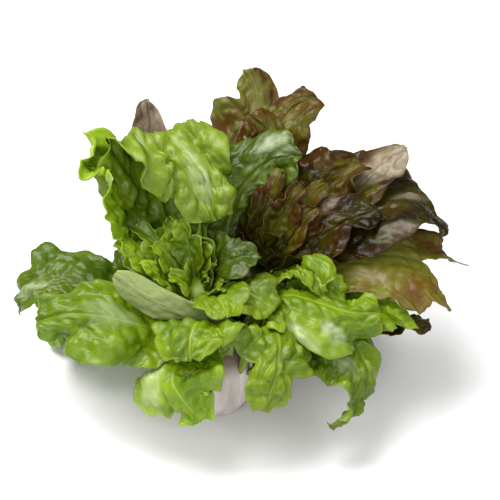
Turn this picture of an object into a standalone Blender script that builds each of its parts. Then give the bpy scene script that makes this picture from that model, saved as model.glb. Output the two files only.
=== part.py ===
"""A duo oak-leaf lettuce: a green and a red-brown plant grown as one head on a pale rounded base.

Metres, +Z up, the origin at the middle of the base's flat underside. -Y is the front. Each leaf is a
surface over two parameters, s along its midrib and u across it, and its closed blade lies between that
grid and a second one under it, joined by a rim. A leaf's ccw half is the one on the counterclockwise side
of its heading, seen from above; the other is its cw half.
"""
import math
from dataclasses import dataclass

import bmesh
import bpy
import numpy as np

from mathutils.bvhtree import BVHTree

BASE_WIDTH = 0.0386
BASE_FOOT_RADIUS = 0.0105
BASE_HEIGHT = 0.059
BLADE = 0.0008
RIB_DEPTH = 0.0018
GAP = 0.0003
CLEARANCE = 0.0019
FLOOR_CLEARANCE = 0.0012
GOLDEN_ANGLE = math.radians(137.508)

COLOURS = {
    "green_leaf": (0.22, 0.36, 0.03, 1.0),
    "green_heart": (0.24, 0.38, 0.03, 1.0),
    "red_leaf": (0.08, 0.035, 0.012, 1.0),
    "red_heart": (0.10, 0.07, 0.015, 1.0),
    "base": (0.66, 0.58, 0.55, 1.0),
}


CORES = {
    "green": ((-0.0090, 0.0000, 0.0750), (0.0140, 0.0165, 0.0150)),
    "red": ((0.0180, 0.0160, 0.0735), (0.0130, 0.0150, 0.0140)),
}


@dataclass
class Leaf:
    """One leaf: its layer (0 outermost, 1 innermost), its midrib's waypoints past the root, its outline,
    how its two halves are carried and how its margin waves."""

    name: str
    layer: float
    path: tuple
    width: tuple = (0.026, 0.026)
    belly: float = 0.64
    neck: float = 0.20
    lobes: tuple = (3, 3)
    depth: float = 0.30
    point: float = 0.85
    fork: bool = False
    fold: tuple = (12, 12)
    curl: tuple = (0, 0)
    twist: tuple = (0, 0)
    wave: float = 0.005
    waves: float = 2.5
    heading: float = None
    rows: int = 15
    columns: int = 3
    seed: int = 1


GREEN_LEAVES = (
    Leaf("green_leaf_hidden_left", 0.03,
         ((-0.040, 0.024, 0.044), (-0.072, 0.044, 0.040), (-0.094, 0.057, 0.000)),
         width=(0.028, 0.028), fold=(8, 8), curl=(-20, -20), depth=0.28, rows=13, columns=2, seed=47),
    Leaf("green_leaf_hidden_back", 0.02,
         ((-0.014, 0.042, 0.058), (-0.026, 0.078, 0.056), (-0.032, 0.104, 0.024)),
         width=(0.028, 0.028), fold=(10, 10), curl=(-20, -20), depth=0.28, rows=13, columns=2, seed=53),
    Leaf("green_leaf_front_left", 0.08,
         ((-0.010, -0.028, 0.055), (-0.018, -0.046, 0.068), (-0.021, -0.060, 0.062),
          (-0.009, -0.067, 0.041)),
         width=(0.030, 0.031), belly=0.72, fold=(-10, -16), curl=(-10, -30), depth=0.26, wave=0.005,
         waves=3.0, heading=260, seed=11),
    Leaf("green_leaf_front_right", 0.10,
         ((0.034, -0.016, 0.053), (0.064, -0.026, 0.061), (0.079, -0.040, 0.052), (0.075, -0.052, 0.038),
          (0.064, -0.058, 0.029)),
         width=(0.021, 0.020), belly=0.60, point=1.0, fold=(4, -20), curl=(-20, -6), lobes=(2, 2),
         depth=0.24, wave=0.003, heading=-35, waves=2.5, seed=17),
    Leaf("green_leaf_far_left", 0.12,
         ((-0.036, 0.006, 0.058), (-0.070, 0.012, 0.074), (-0.098, 0.013, 0.074), (-0.114, 0.010, 0.064)),
         width=(0.026, 0.034), fold=(-6, 18), curl=(-40, -10), depth=0.34, wave=0.005, seed=3),
    Leaf("green_leaf_front", 0.16,
         ((0.021, -0.020, 0.063), (0.027, -0.031, 0.083), (0.030, -0.045, 0.083), (0.030, -0.058, 0.070),
          (0.027, -0.066, 0.050)),
         width=(0.026, 0.027), neck=0.14, fold=(-14, -8), curl=(-20, -10), lobes=(2, 2), depth=0.42,
         wave=0.003, waves=2.0, heading=290, seed=13),
    Leaf("green_leaf_left", 0.20,
         ((-0.026, -0.022, 0.066), (-0.058, -0.034, 0.088), (-0.082, -0.036, 0.092),
          (-0.100, -0.033, 0.084)),
         width=(0.028, 0.026), fold=(-34, 22), curl=(-24, -20), depth=0.26, wave=0.005, waves=3.5, seed=5),
    Leaf("green_leaf_forked", 0.22,
         ((0.040, 0.000, 0.060), (0.078, 0.003, 0.072), (0.102, 0.005, 0.073), (0.122, 0.006, 0.063)),
         width=(0.021, 0.021), belly=0.78, fold=(8, -20), curl=(0, -30), lobes=(2, 2), depth=0.28,
         fork=True, wave=0.002, seed=23),
    Leaf("green_leaf_front_middle", 0.25,
         ((-0.004, -0.024, 0.069), (-0.010, -0.038, 0.088), (-0.014, -0.051, 0.087),
          (-0.014, -0.061, 0.076)),
         width=(0.026, 0.031), neck=0.12, belly=0.62, fold=(-6, -6), curl=(-20, -20), lobes=(2, 2),
         depth=0.20, wave=0.004, heading=265, rows=13, columns=2, seed=27),
    Leaf("green_leaf_back_left", 0.38,
         ((-0.022, 0.015, 0.080), (-0.048, 0.030, 0.112), (-0.064, 0.038, 0.140), (-0.074, 0.034, 0.149)),
         width=(0.036, 0.040), fold=(22, -6), curl=(-20, -16), depth=0.30, wave=0.006, waves=3.0,
         heading=150, seed=37),
    Leaf("green_leaf_right", 0.45,
         ((0.020, -0.008, 0.074), (0.038, -0.014, 0.086), (0.057, -0.019, 0.083), (0.075, -0.018, 0.076),
          (0.089, -0.010, 0.070)),
         width=(0.026, 0.031), neck=0.34, fold=(14, -38), curl=(-20, -16), depth=0.26, wave=0.0045,
         waves=4.0, seed=19),
    Leaf("green_leaf_rolled", 0.48,
         ((0.010, -0.018, 0.068), (-0.004, -0.026, 0.081), (-0.034, -0.028, 0.097),
          (-0.057, -0.022, 0.106)),
         width=(0.010, 0.012), neck=0.12, fold=(8, 8), curl=(20, 20), twist=(30, 125), lobes=(1, 1),
         depth=0.05, wave=0.001, heading=200, columns=2, rows=13, seed=7),
    Leaf("green_leaf_folded_over", 0.52,
         ((-0.022, 0.026, 0.090), (-0.034, 0.046, 0.126), (-0.033, 0.052, 0.147), (-0.024, 0.042, 0.156),
          (-0.010, 0.025, 0.144), (-0.002, 0.013, 0.120)),
         width=(0.038, 0.026), neck=0.26, belly=0.66, fold=(4, 2), curl=(-8, -8), depth=0.30, wave=0.005,
         waves=4.0, heading=104, rows=17, seed=41),
    Leaf("green_leaf_behind", 0.60,
         ((0.002, 0.023, 0.090), (0.010, 0.040, 0.119), (0.027, 0.050, 0.134), (0.047, 0.051, 0.137)),
         width=(0.023, 0.024), neck=0.26, belly=0.70, point=0.70, fold=(18, 10), curl=(-20, -20),
         lobes=(2, 2), depth=0.12, wave=0.003, heading=62, seed=31),
    Leaf("green_leaf_curled", 0.70,
         ((0.028, 0.003, 0.082), (0.041, 0.003, 0.096), (0.050, 0.003, 0.104), (0.060, -0.002, 0.098)),
         width=(0.013, 0.013), neck=0.26, fold=(20, 10), lobes=(1, 1), depth=0.12, wave=0.002, columns=2,
         rows=13, seed=29),
)

RED_LEAVES = (
    Leaf("red_leaf_hidden_right", 0.04,
         ((0.031, 0.042, 0.048), (0.056, 0.076, 0.040), (0.073, 0.096, 0.001)),
         width=(0.028, 0.028), fold=(10, 10), curl=(-20, -20), depth=0.30, rows=13, columns=2, seed=107),
    Leaf("red_leaf_hidden_back", 0.05,
         ((0.008, 0.050, 0.050), (0.014, 0.088, 0.050), (0.016, 0.112, 0.022)),
         width=(0.028, 0.028), fold=(10, 10), curl=(-20, -20), depth=0.30, rows=13, columns=2, seed=103),
    Leaf("red_leaf_under_right", 0.06,
         ((0.050, 0.010, 0.044), (0.090, 0.016, 0.051), (0.121, 0.018, 0.046)),
         width=(0.018, 0.018), fold=(0, -6), depth=0.42, wave=0.003, rows=13, columns=2, seed=83),
    Leaf("red_leaf_low_right", 0.14,
         ((0.045, 0.012, 0.056), (0.078, 0.020, 0.064), (0.104, 0.030, 0.068)),
         width=(0.016, 0.014), fold=(6, 0), lobes=(2, 2), depth=0.20, wave=0.003, columns=2, rows=13,
         seed=79),
    Leaf("red_leaf_arrow", 0.30,
         ((0.046, 0.013, 0.071), (0.084, 0.025, 0.089), (0.118, 0.026, 0.083), (0.146, 0.019, 0.067)),
         width=(0.027, 0.036), neck=0.26, belly=0.80, fold=(10, -14), curl=(-10, -6), lobes=(2, 2),
         depth=0.16, fork=True, wave=0.003, seed=59),
    Leaf("red_leaf_back_tip", 0.32,
         ((-0.018, 0.042, 0.090), (-0.034, 0.076, 0.122), (-0.042, 0.096, 0.148)),
         width=(0.026, 0.012), neck=0.26, belly=0.62, point=1.25, fold=(10, 10), lobes=(2, 1), depth=0.20,
         wave=0.002, heading=112, rows=13, columns=2, seed=101),
    Leaf("red_leaf_far_right", 0.34,
         ((0.047, 0.036, 0.084), (0.086, 0.049, 0.106), (0.113, 0.055, 0.106), (0.131, 0.052, 0.089)),
         width=(0.035, 0.037), neck=0.26, belly=0.68, point=0.65, fold=(8, 4), curl=(-24, -16),
         lobes=(2, 2), depth=0.12, wave=0.004, seed=61),
    Leaf("red_leaf_top_left", 0.36,
         ((0.008, 0.042, 0.098), (0.019, 0.074, 0.134), (0.022, 0.092, 0.153), (0.018, 0.103, 0.165)),
         width=(0.031, 0.022), neck=0.26, belly=0.80, point=1.15, fold=(-14, 6), curl=(-10, 0),
         lobes=(3, 2), depth=0.42, wave=0.003, heading=86, seed=88),
    Leaf("red_leaf_pale_tip", 0.40,
         ((0.044, 0.043, 0.086), (0.081, 0.064, 0.112), (0.109, 0.080, 0.126)),
         width=(0.020, 0.020), neck=0.26, belly=0.72, fold=(10, 10), lobes=(2, 2), depth=0.10, wave=0.002,
         rows=13, seed=67),
    Leaf("red_leaf_top_right", 0.42,
         ((0.021, 0.044, 0.094), (0.030, 0.070, 0.128), (0.042, 0.085, 0.147), (0.058, 0.092, 0.152)),
         width=(0.021, 0.020), neck=0.30, belly=0.72, point=0.70, fold=(4, 4), curl=(-10, -20),
         lobes=(2, 2), depth=0.16, wave=0.003, heading=50, seed=97),
    Leaf("red_leaf_fan", 0.50, ((0.040, 0.040, 0.092), (0.064, 0.058, 0.112), (0.085, 0.068, 0.124)),
         width=(0.030, 0.024), neck=0.26, belly=0.70, fold=(12, 8), curl=(-10, -10), depth=0.20, wave=0.005,
         waves=3.5, seed=71),
    Leaf("red_leaf_top_front", 0.55,
         ((0.014, 0.036, 0.096), (0.026, 0.058, 0.124), (0.028, 0.070, 0.141), (0.018, 0.077, 0.149)),
         width=(0.019, 0.016), neck=0.30, belly=0.70, fold=(4, 4), lobes=(2, 2), depth=0.16, wave=0.003,
         heading=90, rows=13, columns=2, seed=113),
    Leaf("red_leaf_cupped", 0.58,
         ((0.040, 0.015, 0.080), (0.066, 0.030, 0.098), (0.094, 0.038, 0.108)),
         width=(0.022, 0.018), neck=0.26, fold=(24, 18), curl=(30, 10), lobes=(2, 2), depth=0.18,
         wave=0.004, rows=13, seed=73),
)


def heart_leaves(colour, count, centre, height, spread, width, first_seed):
    """The small leaves of a heart, one every golden angle: the inner ones stand closer and the back ones
    taller."""
    start = np.array(CORES[colour][0])
    other = CORES["red" if colour == "green" else "green"][0]
    facing = math.atan2(other[1] - start[1], other[0] - start[0])
    leaves = []
    for k in range(count):
        share = k / (count - 1)
        angle = GOLDEN_ANGLE * k + 0.6
        draw = np.random.default_rng(first_seed + k)
        reach = spread * (1.0 - 0.60 * share) * draw.uniform(0.9, 1.1)
        reach *= 1.0 - 0.45 * max(0.0, math.cos(angle - facing))
        x, y = math.cos(angle), math.sin(angle)
        tip = np.array([centre[0] + reach * x, centre[1] + reach * y,
                        height + 0.018 * y + draw.uniform(-0.005, 0.005)])
        lean = start + (tip - start) * (0.42, 0.42, 0.55)
        bow = start + (tip - start) * (0.74, 0.74, 0.90)
        leaves.append(Leaf(
            f"{colour}_heart_{k}", 0.75 + 0.25 * share, (tuple(lean), tuple(bow), tuple(tip)),
            width=(width, width), belly=0.70, lobes=(2, 2), depth=0.46, fold=(20, 20), curl=(-16, -16),
            wave=0.0026, waves=1.5, heading=math.degrees(angle), rows=8, columns=2, seed=first_seed + k))
    return tuple(leaves)


SHADE = dict(belly=0.70, neck=0.26, lobes=(2, 2), depth=0.20, fold=(14, 14), curl=(-20, -20), wave=0.002,
             waves=1.5, rows=8, columns=2)
GREEN_HEART = heart_leaves("green", 18, (-0.019, -0.002), 0.103, 0.038, 0.0115, 200) + (
    Leaf("green_heart_low_right", 0.751,
         ((0.004, -0.008, 0.089), (0.014, -0.016, 0.095), (0.028, -0.027, 0.087)),
         width=(0.018, 0.017), heading=-42, seed=241, **SHADE),
    Leaf("green_heart_right", 0.755,
         ((0.004, 0.000, 0.095), (0.013, -0.001, 0.105), (0.026, -0.003, 0.108)),
         width=(0.013, 0.015), heading=-6, seed=242, **SHADE),
    Leaf("green_heart_low_front", 0.753,
         ((-0.004, -0.012, 0.088), (0.001, -0.022, 0.094), (0.006, -0.037, 0.085)),
         width=(0.018, 0.017), heading=-78, seed=243, **SHADE),
)
RED_HEART = heart_leaves("red", 11, (0.036, 0.030), 0.110, 0.028, 0.0125, 300)


def smoothstep(t):
    """0 before t = 0, 1 after t = 1, and 3t^2 - 2t^3 between."""
    t = np.clip(t, 0.0, 1.0)
    return t * t * (3.0 - 2.0 * t)


def base_radius(z):
    """The base's profile: a foot, a full round middle and a shoulder that narrows to the crown."""
    heights = np.array([0.0, 0.05, 0.16, 0.36, 0.58, 0.76, 0.90, 1.0]) * BASE_HEIGHT
    radii = np.array([BASE_FOOT_RADIUS / BASE_WIDTH, 0.36, 0.455, 0.50, 0.49, 0.45, 0.36, 0.20]) * BASE_WIDTH
    return np.interp(z, heights, radii, right=0.0)


def root_of(leaf):
    """Where a leaf's midrib starts, just inside the base: lower for the outer layers."""
    z = 0.022 + 0.032 * min(leaf.layer, 0.75) / 0.75
    angle = math.atan2(leaf.path[0][1], leaf.path[0][0])
    inside = 0.72 * float(base_radius(z))
    if leaf.layer >= 0.75:
        x, y, z = CORES[leaf.name.split("_")[0]][0]
        return (x + 0.004 * math.cos(angle), y + 0.004 * math.sin(angle), z)
    return (inside * math.cos(angle), inside * math.sin(angle), z)


def curve_through(points, samples=160):
    """A Catmull-Rom curve through the waypoints, resampled at equal steps of arc length: (points,
    length)."""
    p = np.array(points, float)
    p = np.vstack([2 * p[0] - p[1], p, 2 * p[-1] - p[-2]])
    spans = []
    for a, b, c, d in zip(p[:-3], p[1:-2], p[2:-1], p[3:]):
        t = np.linspace(0.0, 1.0, 40, endpoint=False)[:, None]
        spans.append(0.5 * (2 * b + (c - a) * t + (2 * a - 5 * b + 4 * c - d) * t**2
                            + (3 * b - a - 3 * c + d) * t**3))
    dense = np.vstack([*spans, p[-2:-1]])
    steps = np.concatenate([[0.0], np.cumsum(np.linalg.norm(np.diff(dense, axis=0), axis=1))])
    at = np.linspace(0.0, steps[-1], samples)
    return np.stack([np.interp(at, steps, dense[:, k]) for k in range(3)], axis=1), steps[-1]


def midrib_of(leaf):
    """The midrib as (points, length)."""
    return curve_through((root_of(leaf), *leaf.path))


def midrib_frame(leaf, y):
    """For each distance y along the midrib: the point there, the ccw direction across the blade and the
    direction that its upper face looks, turned about the midrib by the leaf's twist."""
    line, length = midrib_of(leaf)
    at = np.linspace(0.0, length, len(line))
    tangent = np.gradient(line, axis=0)
    tangent /= np.linalg.norm(tangent, axis=1)[:, None]
    heading = math.atan2(line[-1, 1] - line[0, 1], line[-1, 0] - line[0, 0])
    if leaf.heading is not None:
        heading = math.radians(leaf.heading)
    across = np.array([-math.sin(heading), math.cos(heading), 0.0])
    side = across - (tangent @ across)[:, None] * tangent
    side /= np.linalg.norm(side, axis=1)[:, None]
    face = np.cross(tangent, side)
    turn = np.radians(leaf.twist[0] + (leaf.twist[1] - leaf.twist[0]) * smoothstep(at / length))[:, None]
    side, face = side * np.cos(turn) + face * np.sin(turn), face * np.cos(turn) - side * np.sin(turn)
    flat = y.ravel()

    def read(values):
        return np.stack([np.interp(flat, at, values[:, k]) for k in range(3)], axis=1).reshape(*y.shape, 3)

    past = np.maximum(y - length, 0.0)[..., None]
    return read(line) + past * tangent[-1], read(side), read(face)


def outline(leaf, length, s, half, phase, teeth=0.0):
    """Where the margin of one half is at each s, in the flat blade: (x across, y along), and the y of
    the midrib point that the same vein leaves. The lobes are |cos| to a power under 1, which makes
    them broad and the cuts between them narrow, and the teeth are the same at two finer scales. A
    forked tip is two prongs: its midrib stops short of them."""
    width, lobes = leaf.width[half], leaf.lobes[half]
    share, stalk = 0.60, 0.085 * leaf.width[half]
    lower = np.clip(s / share, 0.0, 1.0)
    turn = np.clip((s - share) / (1.0 - share), 0.0, 1.0) * math.radians(48 if leaf.fork else 80)
    x = stalk + (width - stalk) * smoothstep((lower - leaf.neck) / (1.0 - leaf.neck)) ** 0.8
    x = np.where(s > share, width * np.cos(turn) ** leaf.point, x)
    y = length * np.where(s > share, leaf.belly + (1 - leaf.belly) * np.sin(turn), lower * leaf.belly)
    vein = 0.75 * s**1.15 + (0.03 if leaf.fork else 0.25) * s**4
    swept = leaf.belly - 0.75 * share**1.15 - (0.03 if leaf.fork else 0.25) * share**4
    root = np.where(s < share, y - length * swept * smoothstep((s - 0.06) / (share - 0.06)), length * vein)
    along = np.clip((s - 0.14) / 0.86, 0.0, 1.0) ** 1.1
    warped = along + 0.35 / (math.pi * lobes) * np.sin(2.6 * math.pi * along + phase) * along * (1.0 - along)
    lobe = np.abs(np.cos(math.pi * lobes * (1.0 - warped))) ** 0.6
    cut = leaf.depth * (1.0 + 0.25 * np.sin(5.0 * along + phase))
    reach = 1.0 - cut * smoothstep(along / 0.25) * (1.0 - lobe)
    if teeth:
        finer = np.abs(np.cos(math.pi * (2.7 * lobes * along + phase))) ** 0.7
        finest = np.abs(np.cos(math.pi * (7.3 * lobes * along + 2.0 * phase))) ** 0.8
        reach = reach * (1.0 + teeth * smoothstep(along / 0.2) * (finer - 0.7 + 0.4 * (finest - 0.65)))
    return x * reach, root + (y - root) * reach, root


def leaf_surface(leaf, rows, across, teeth=0.0):
    """The upper face of the leaf as a grid of points: rows from root to tip, and columns from the cw
    margin over the midrib to the ccw margin, at the given shares of the half width. Across the blade
    the slope starts at fold and changes by curl at full width. The margin waves by sines of s that
    grow from nothing at the midrib, and the blade between is crumpled by a product of sines."""
    draw = np.random.default_rng(leaf.seed)
    phases = draw.uniform(0.0, 2 * math.pi, (2, 4))
    length = midrib_of(leaf)[1]
    s = np.linspace(0.0, 1.0, rows)
    u = np.asarray(across, float)
    columns = len(u) - 1
    out = np.zeros((rows, 2 * columns + 1, 3))
    for half, sign in ((0, 1.0), (1, -1.0)):
        x_edge, y_edge, root = outline(leaf, length, s, half, phases[half, 2], teeth)
        x = u[None, :] * x_edge[:, None]
        y = root[:, None] + u[None, :] * (y_edge - root)[:, None]
        point, side, face = midrib_frame(leaf, y)
        fold = math.radians(leaf.fold[half]) * smoothstep(s / 0.3)[:, None] + np.zeros_like(x)
        bend = math.radians(leaf.curl[half]) / leaf.width[half] + 1e-4
        slope = fold + bend * x
        over = (np.sin(slope) - np.sin(fold)) / bend
        rise = (np.cos(fold) - np.cos(slope)) / bend
        ripple = np.sin(2 * math.pi * leaf.waves * s + phases[half, 0])
        grow = smoothstep((s - 0.1) / 0.35)
        lift = leaf.wave * (u[None, :] ** 1.5) * (ripple * grow)[:, None]
        crumple = np.sin(y / 0.0065 + phases[half, 3]) * np.sin(x / 0.0070)
        lift = lift + 0.22 * leaf.wave * crumple * grow[:, None]
        over, rise = over - lift * np.sin(slope), rise + lift * np.cos(slope)
        grid = point + sign * over[..., None] * side + rise[..., None] * face
        if half == 0:
            out[:, columns:] = grid
        else:
            out[:, :columns + 1] = grid[:, ::-1]
    return out


def leaf_thickness(leaf, rows, across):
    """How thick the blade is at each point of the grid: the blade, and a rounded rib under the midrib that
    narrows and thins towards the tip."""
    s = np.linspace(0.0, 1.0, rows)[:, None]
    length = midrib_of(leaf)[1]
    size = min(1.0, length / 0.11)
    halves = []
    for half in (1, 0):
        x = np.asarray(across)[None, :] * outline(leaf, length, s.ravel(), half, 0.0)[0][:, None]
        spread = size * (0.0032 - 0.0018 * s)
        rib = RIB_DEPTH * size * (1.0 - s) ** 1.3 * np.clip(1.0 - (x / spread) ** 2, 0.0, 1.0)
        halves.append(BLADE + rib)
    return np.hstack([halves[0][:, ::-1], halves[1][:, 1:]])


def grid_triangles(rows, columns):
    """The triangles of a grid, wound so that they face the upper side; the diagonals lean towards the
    midrib."""
    index = np.arange(rows * columns).reshape(rows, columns)
    a, b, c, d = index[:-1, :-1], index[:-1, 1:], index[1:, 1:], index[1:, :-1]
    left = np.arange(columns - 1) < (columns - 1) // 2
    one = np.where(left[None, :, None], np.stack([a, c, b], -1), np.stack([a, d, b], -1))
    two = np.where(left[None, :, None], np.stack([a, d, c], -1), np.stack([b, d, c], -1))
    return np.concatenate([one.reshape(-1, 3), two.reshape(-1, 3)])


def point_normals(points, triangles):
    """Unit normals at the points, weighted by the area of the triangles around each."""
    a, b, c = (points[triangles[:, k]] for k in range(3))
    facing = np.cross(b - a, c - a)
    total = np.zeros_like(points)
    for k in range(3):
        np.add.at(total, triangles[:, k], facing)
    return total / np.maximum(np.linalg.norm(total, axis=1), 1e-12)[:, None]


def margin_shares(columns):
    """Where the columns of one half stand: the first close to the midrib, beside the rib."""
    return (0.0, 0.14, 0.56, 1.0) if columns == 3 else (0.0, 0.30, 1.0)


def core_share(core, points):
    """Below 1 inside a heart's core, an ellipsoid, and 1 on its surface."""
    centre, radii = CORES[core]
    return np.linalg.norm((points - np.array(centre)) / np.array(radii), axis=-1)


def buried(points):
    """Which points are inside the base or a heart's core."""
    inside = np.hypot(points[..., 0], points[..., 1]) < base_radius(points[..., 2])
    for core in CORES:
        inside |= core_share(core, points) < 1.0
    return inside


SPRINGS = ((1, 0, 1.0), (0, 1, 1.0), (1, 1, 0.7), (1, -1, 0.7), (2, 0, 1.0), (0, 2, 0.8))


def spring_ends(grid, down, right):
    """The two ends of every spring that reaches so many rows down and columns right, as slices of the
    grid."""
    rows, columns = grid.shape[:2]
    first = (slice(0, rows - down), slice(max(0, -right), columns - max(0, right)))
    last = (slice(down, rows), slice(max(0, right), columns + min(0, right)))
    return first, last


def spring_lengths(grid):
    """The length of every spring between the grid's points."""
    return [np.linalg.norm(grid[spring_ends(grid, d, r)[1]] - grid[spring_ends(grid, d, r)[0]], axis=-1)
            for d, r, _ in SPRINGS]


def hold_shape(grid, lengths, pinned, passes=8):
    """Draws the springs between the grid's points back towards their own lengths, so that a pushed blade
    bends as a sheet does and neither stretches nor folds into itself. Pinned points stay."""
    for _ in range(passes):
        total = np.zeros_like(grid)
        count = np.full(grid.shape[:2], 1e-9)
        for (down, right, stiffness), length in zip(SPRINGS, lengths):
            first, last = spring_ends(grid, down, right)
            along = grid[last] - grid[first]
            now = np.linalg.norm(along, axis=-1)
            pull = (0.5 * stiffness * (now - length) / np.maximum(now, 1e-9))[..., None] * along
            total[first] += pull
            total[last] -= pull
            count[first] += stiffness
            count[last] += stiffness
        grid += np.where(pinned[..., None], 0.0, 1.4 * total / count[..., None])


def row_frames(grid):
    """The middle of every row, and the directions across, above and along the blade there."""
    line = grid[:, grid.shape[1] // 2]
    along = np.gradient(line, axis=0)
    along /= np.linalg.norm(along, axis=1)[:, None]
    side = grid[:, -1] - grid[:, 0]
    side /= np.linalg.norm(side, axis=1)[:, None]
    side[1:-1] = 0.25 * side[:-2] + 0.5 * side[1:-1] + 0.25 * side[2:]
    side -= (side * along).sum(axis=1)[:, None] * along
    side /= np.linalg.norm(side, axis=1)[:, None]
    return line, np.stack([side, np.cross(along, side), along], axis=1)


def hold_rows(grid, own, breadth, pinned):
    """Gives every narrow row its own cross-section back, on a midrib that is drawn a little towards
    smooth."""
    line = grid[:, grid.shape[1] // 2]
    line[1:-1] += (1.0 - breadth[1:-1, 0]) * 0.15 * (line[:-2] + line[2:] - 2.0 * line[1:-1]) * ~pinned[1:-1]
    line, frames = row_frames(grid)
    rigid = line[:, None] + np.einsum("rck,rkx->rcx", own, frames)
    grid += (1.0 - breadth) * (rigid - grid)


def smoothed(field, passes):
    """The field with each inner row drawn to the mean of itself and its neighbours."""
    field = field.copy()
    for _ in range(passes):
        field[1:-1] = 0.25 * field[:-2] + 0.5 * field[1:-1] + 0.25 * field[2:]
    return field


def settle(leaves, grids, thicknesses, rounds=60):
    """Moves the leaves apart until none crosses another, each staying on the upper side of those in
    outer layers. Each round, every point that is nearer a leaf than the two need is pushed off it by
    half of what is missing, and that leaf by the other half, and then each blade's springs are drawn
    back to length. Where a leaf is narrow, as its stalk is, the whole row moves together. Points
    inside the base or a core stay."""
    order = sorted(range(len(leaves)), key=lambda k: leaves[k].layer)
    kin = [leaf.name.split("_heart_")[0] if "_heart_" in leaf.name else "" for leaf in leaves]
    facets = [grid_triangles(*grid.shape[:2]) for grid in grids]
    facet_lists = [f.tolist() for f in facets]
    lengths = [spring_lengths(grid) for grid in grids]
    pinned = [buried(grid) for grid in grids]
    breadths = [smoothstep((np.linalg.norm(grid[:, -1] - grid[:, 0], axis=-1) - 0.008) / 0.012)[:, None, None]
                for grid in grids]
    owns = []
    for grid in grids:
        line, frames = row_frames(grid)
        owns.append(np.einsum("rcx,rkx->rck", grid - line[:, None], frames))
    slim = [np.repeat(breadth.ravel() < 0.3, grid.shape[1]) for breadth, grid in zip(breadths, grids)]
    for grid in grids:
        grid[...] = np.round(grid, 7)
    at_rest = [grid.copy() for grid in grids]
    reach = 0.012
    for turn in range(rounds):
        flats = [grid.reshape(-1, 3) for grid in grids]
        trees = [BVHTree.FromPolygons(flat.tolist(), f) for flat, f in zip(flats, facet_lists)]
        free = [~buried(flat) for flat in flats]
        lows = [flat[ok].min(axis=0) - 0.002 for flat, ok in zip(flats, free)]
        highs = [flat[ok].max(axis=0) + 0.002 for flat, ok in zip(flats, free)]
        push = [np.zeros_like(flat) for flat in flats]
        hits = [np.zeros(len(flat)) for flat in flats]
        moved = 0
        for i, outer in enumerate(order):
            for inner in order[i + 1:]:
                if np.any(lows[outer] > highs[inner]) or np.any(lows[inner] > highs[outer]):
                    continue
                for mover, other, way in ((inner, outer, 1.0), (outer, inner, -1.0)):
                    points = flats[mover]
                    thick = thicknesses[mover].ravel()
                    other_thick = thicknesses[other].ravel()
                    near = free[mover] & np.all((points > lows[other]) & (points < highs[other]), axis=1)
                    if kin[mover] and kin[mover] == kin[other]:
                        near &= core_share(kin[mover], points) > 1.3
                    for k in np.flatnonzero(near):
                        place, normal, facet, distance = trees[other].find_nearest(points[k], reach)
                        if place is None:
                            continue
                        corners = facets[other][facet]
                        need = CLEARANCE + (thick[k] if way > 0 else other_thick[corners].mean()) - BLADE
                        offset = points[k] - np.array(place)
                        height = way * float(offset @ np.array(normal))
                        narrow = slim[mover][k] or slim[other][corners].any()
                        if abs(height) > 0.75 * distance and not narrow:
                            if height >= need:
                                continue
                            step = way * np.array(normal) * min(need - height, 0.003)
                        else:
                            if distance >= need:
                                continue
                            step = offset / max(distance, 1e-9) * (need - distance)
                            if narrow and height < 0.0:
                                step = way * np.array(normal) * need
                        push[mover][k] += 0.5 * step
                        hits[mover][k] += 1
                        push[other][corners] -= 0.25 * step
                        hits[other][corners] += 0.5
                        moved += 1
        if not moved:
            break
        for k, grid in enumerate(grids):
            step = (push[k] / np.maximum(hits[k], 1.0)[:, None]).reshape(grid.shape)
            hit = hits[k].reshape(grid.shape[:2]).sum(axis=1)
            whole = push[k].reshape(grid.shape).sum(axis=1) / np.maximum(hit, 1.0)[:, None]
            step = breadths[k] * step + (1.0 - breadths[k]) * whole[:, None, :]
            rib = slice(grid.shape[1] // 2 - 1, grid.shape[1] // 2 + 2)
            step[:, rib] = step[:, rib].mean(axis=1, keepdims=True)
            grid += np.where(pinned[k][..., None], 0.0, 1.1 * step)
            hold_shape(grid, lengths[k], pinned[k])
            hold_rows(grid, owns[k], breadths[k], pinned[k][:, grid.shape[1] // 2, None])
            grid[..., 2] = np.maximum(grid[..., 2], FLOOR_CLEARANCE + thicknesses[k])
            grid[...] = np.round(grid, 7)
    for grid, rest, stuck in zip(grids, at_rest, pinned):
        grid += np.where(stuck[..., None], 0.0, smoothed(grid - rest, 2) - (grid - rest))
    return moved


def closed_blade(points, columns, thickness, above=0.0, below=0.0, grown=0.0):
    """The leaf's grid as a closed body: (vertices, triangles). The upper side stands `above` over the
    grid, the lower one the thickness plus `below` under it, and the margin is moved outward in the
    blade by `grown`."""
    rows = points.shape[0]
    grid = points.copy()
    if grown:
        for edge, inner in ((0, 1), (-1, -2)):
            out = points[:, edge] - points[:, inner]
            grid[:, edge] += grown * out / np.linalg.norm(out, axis=1)[:, None]
            out = points[edge] - points[inner]
            grid[edge] += grown * out / np.linalg.norm(out, axis=1)[:, None]
    faces = grid_triangles(rows, columns)
    flat = grid.reshape(-1, 3)
    normals = point_normals(flat, faces)
    middle = np.repeat(normals.reshape(rows, columns, 3)[:, columns // 2], columns, axis=0)
    rib = np.maximum(thickness.reshape(-1, 1) - BLADE, 0.0)
    upper = flat + above * normals
    lower = flat - (BLADE + below) * normals - rib * middle
    n = len(flat)
    index = np.arange(n).reshape(rows, columns)
    around = np.concatenate([index[0, :-1], index[:-1, -1], index[-1, :0:-1], index[:0:-1, 0]])
    ahead = np.roll(around, -1)
    rim = np.concatenate([np.stack([around, ahead, ahead + n], -1),
                          np.stack([around, ahead + n, around + n], -1)])
    triangles = np.concatenate([faces, faces[:, ::-1] + n, rim])
    return np.vstack([upper, lower]), triangles


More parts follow.
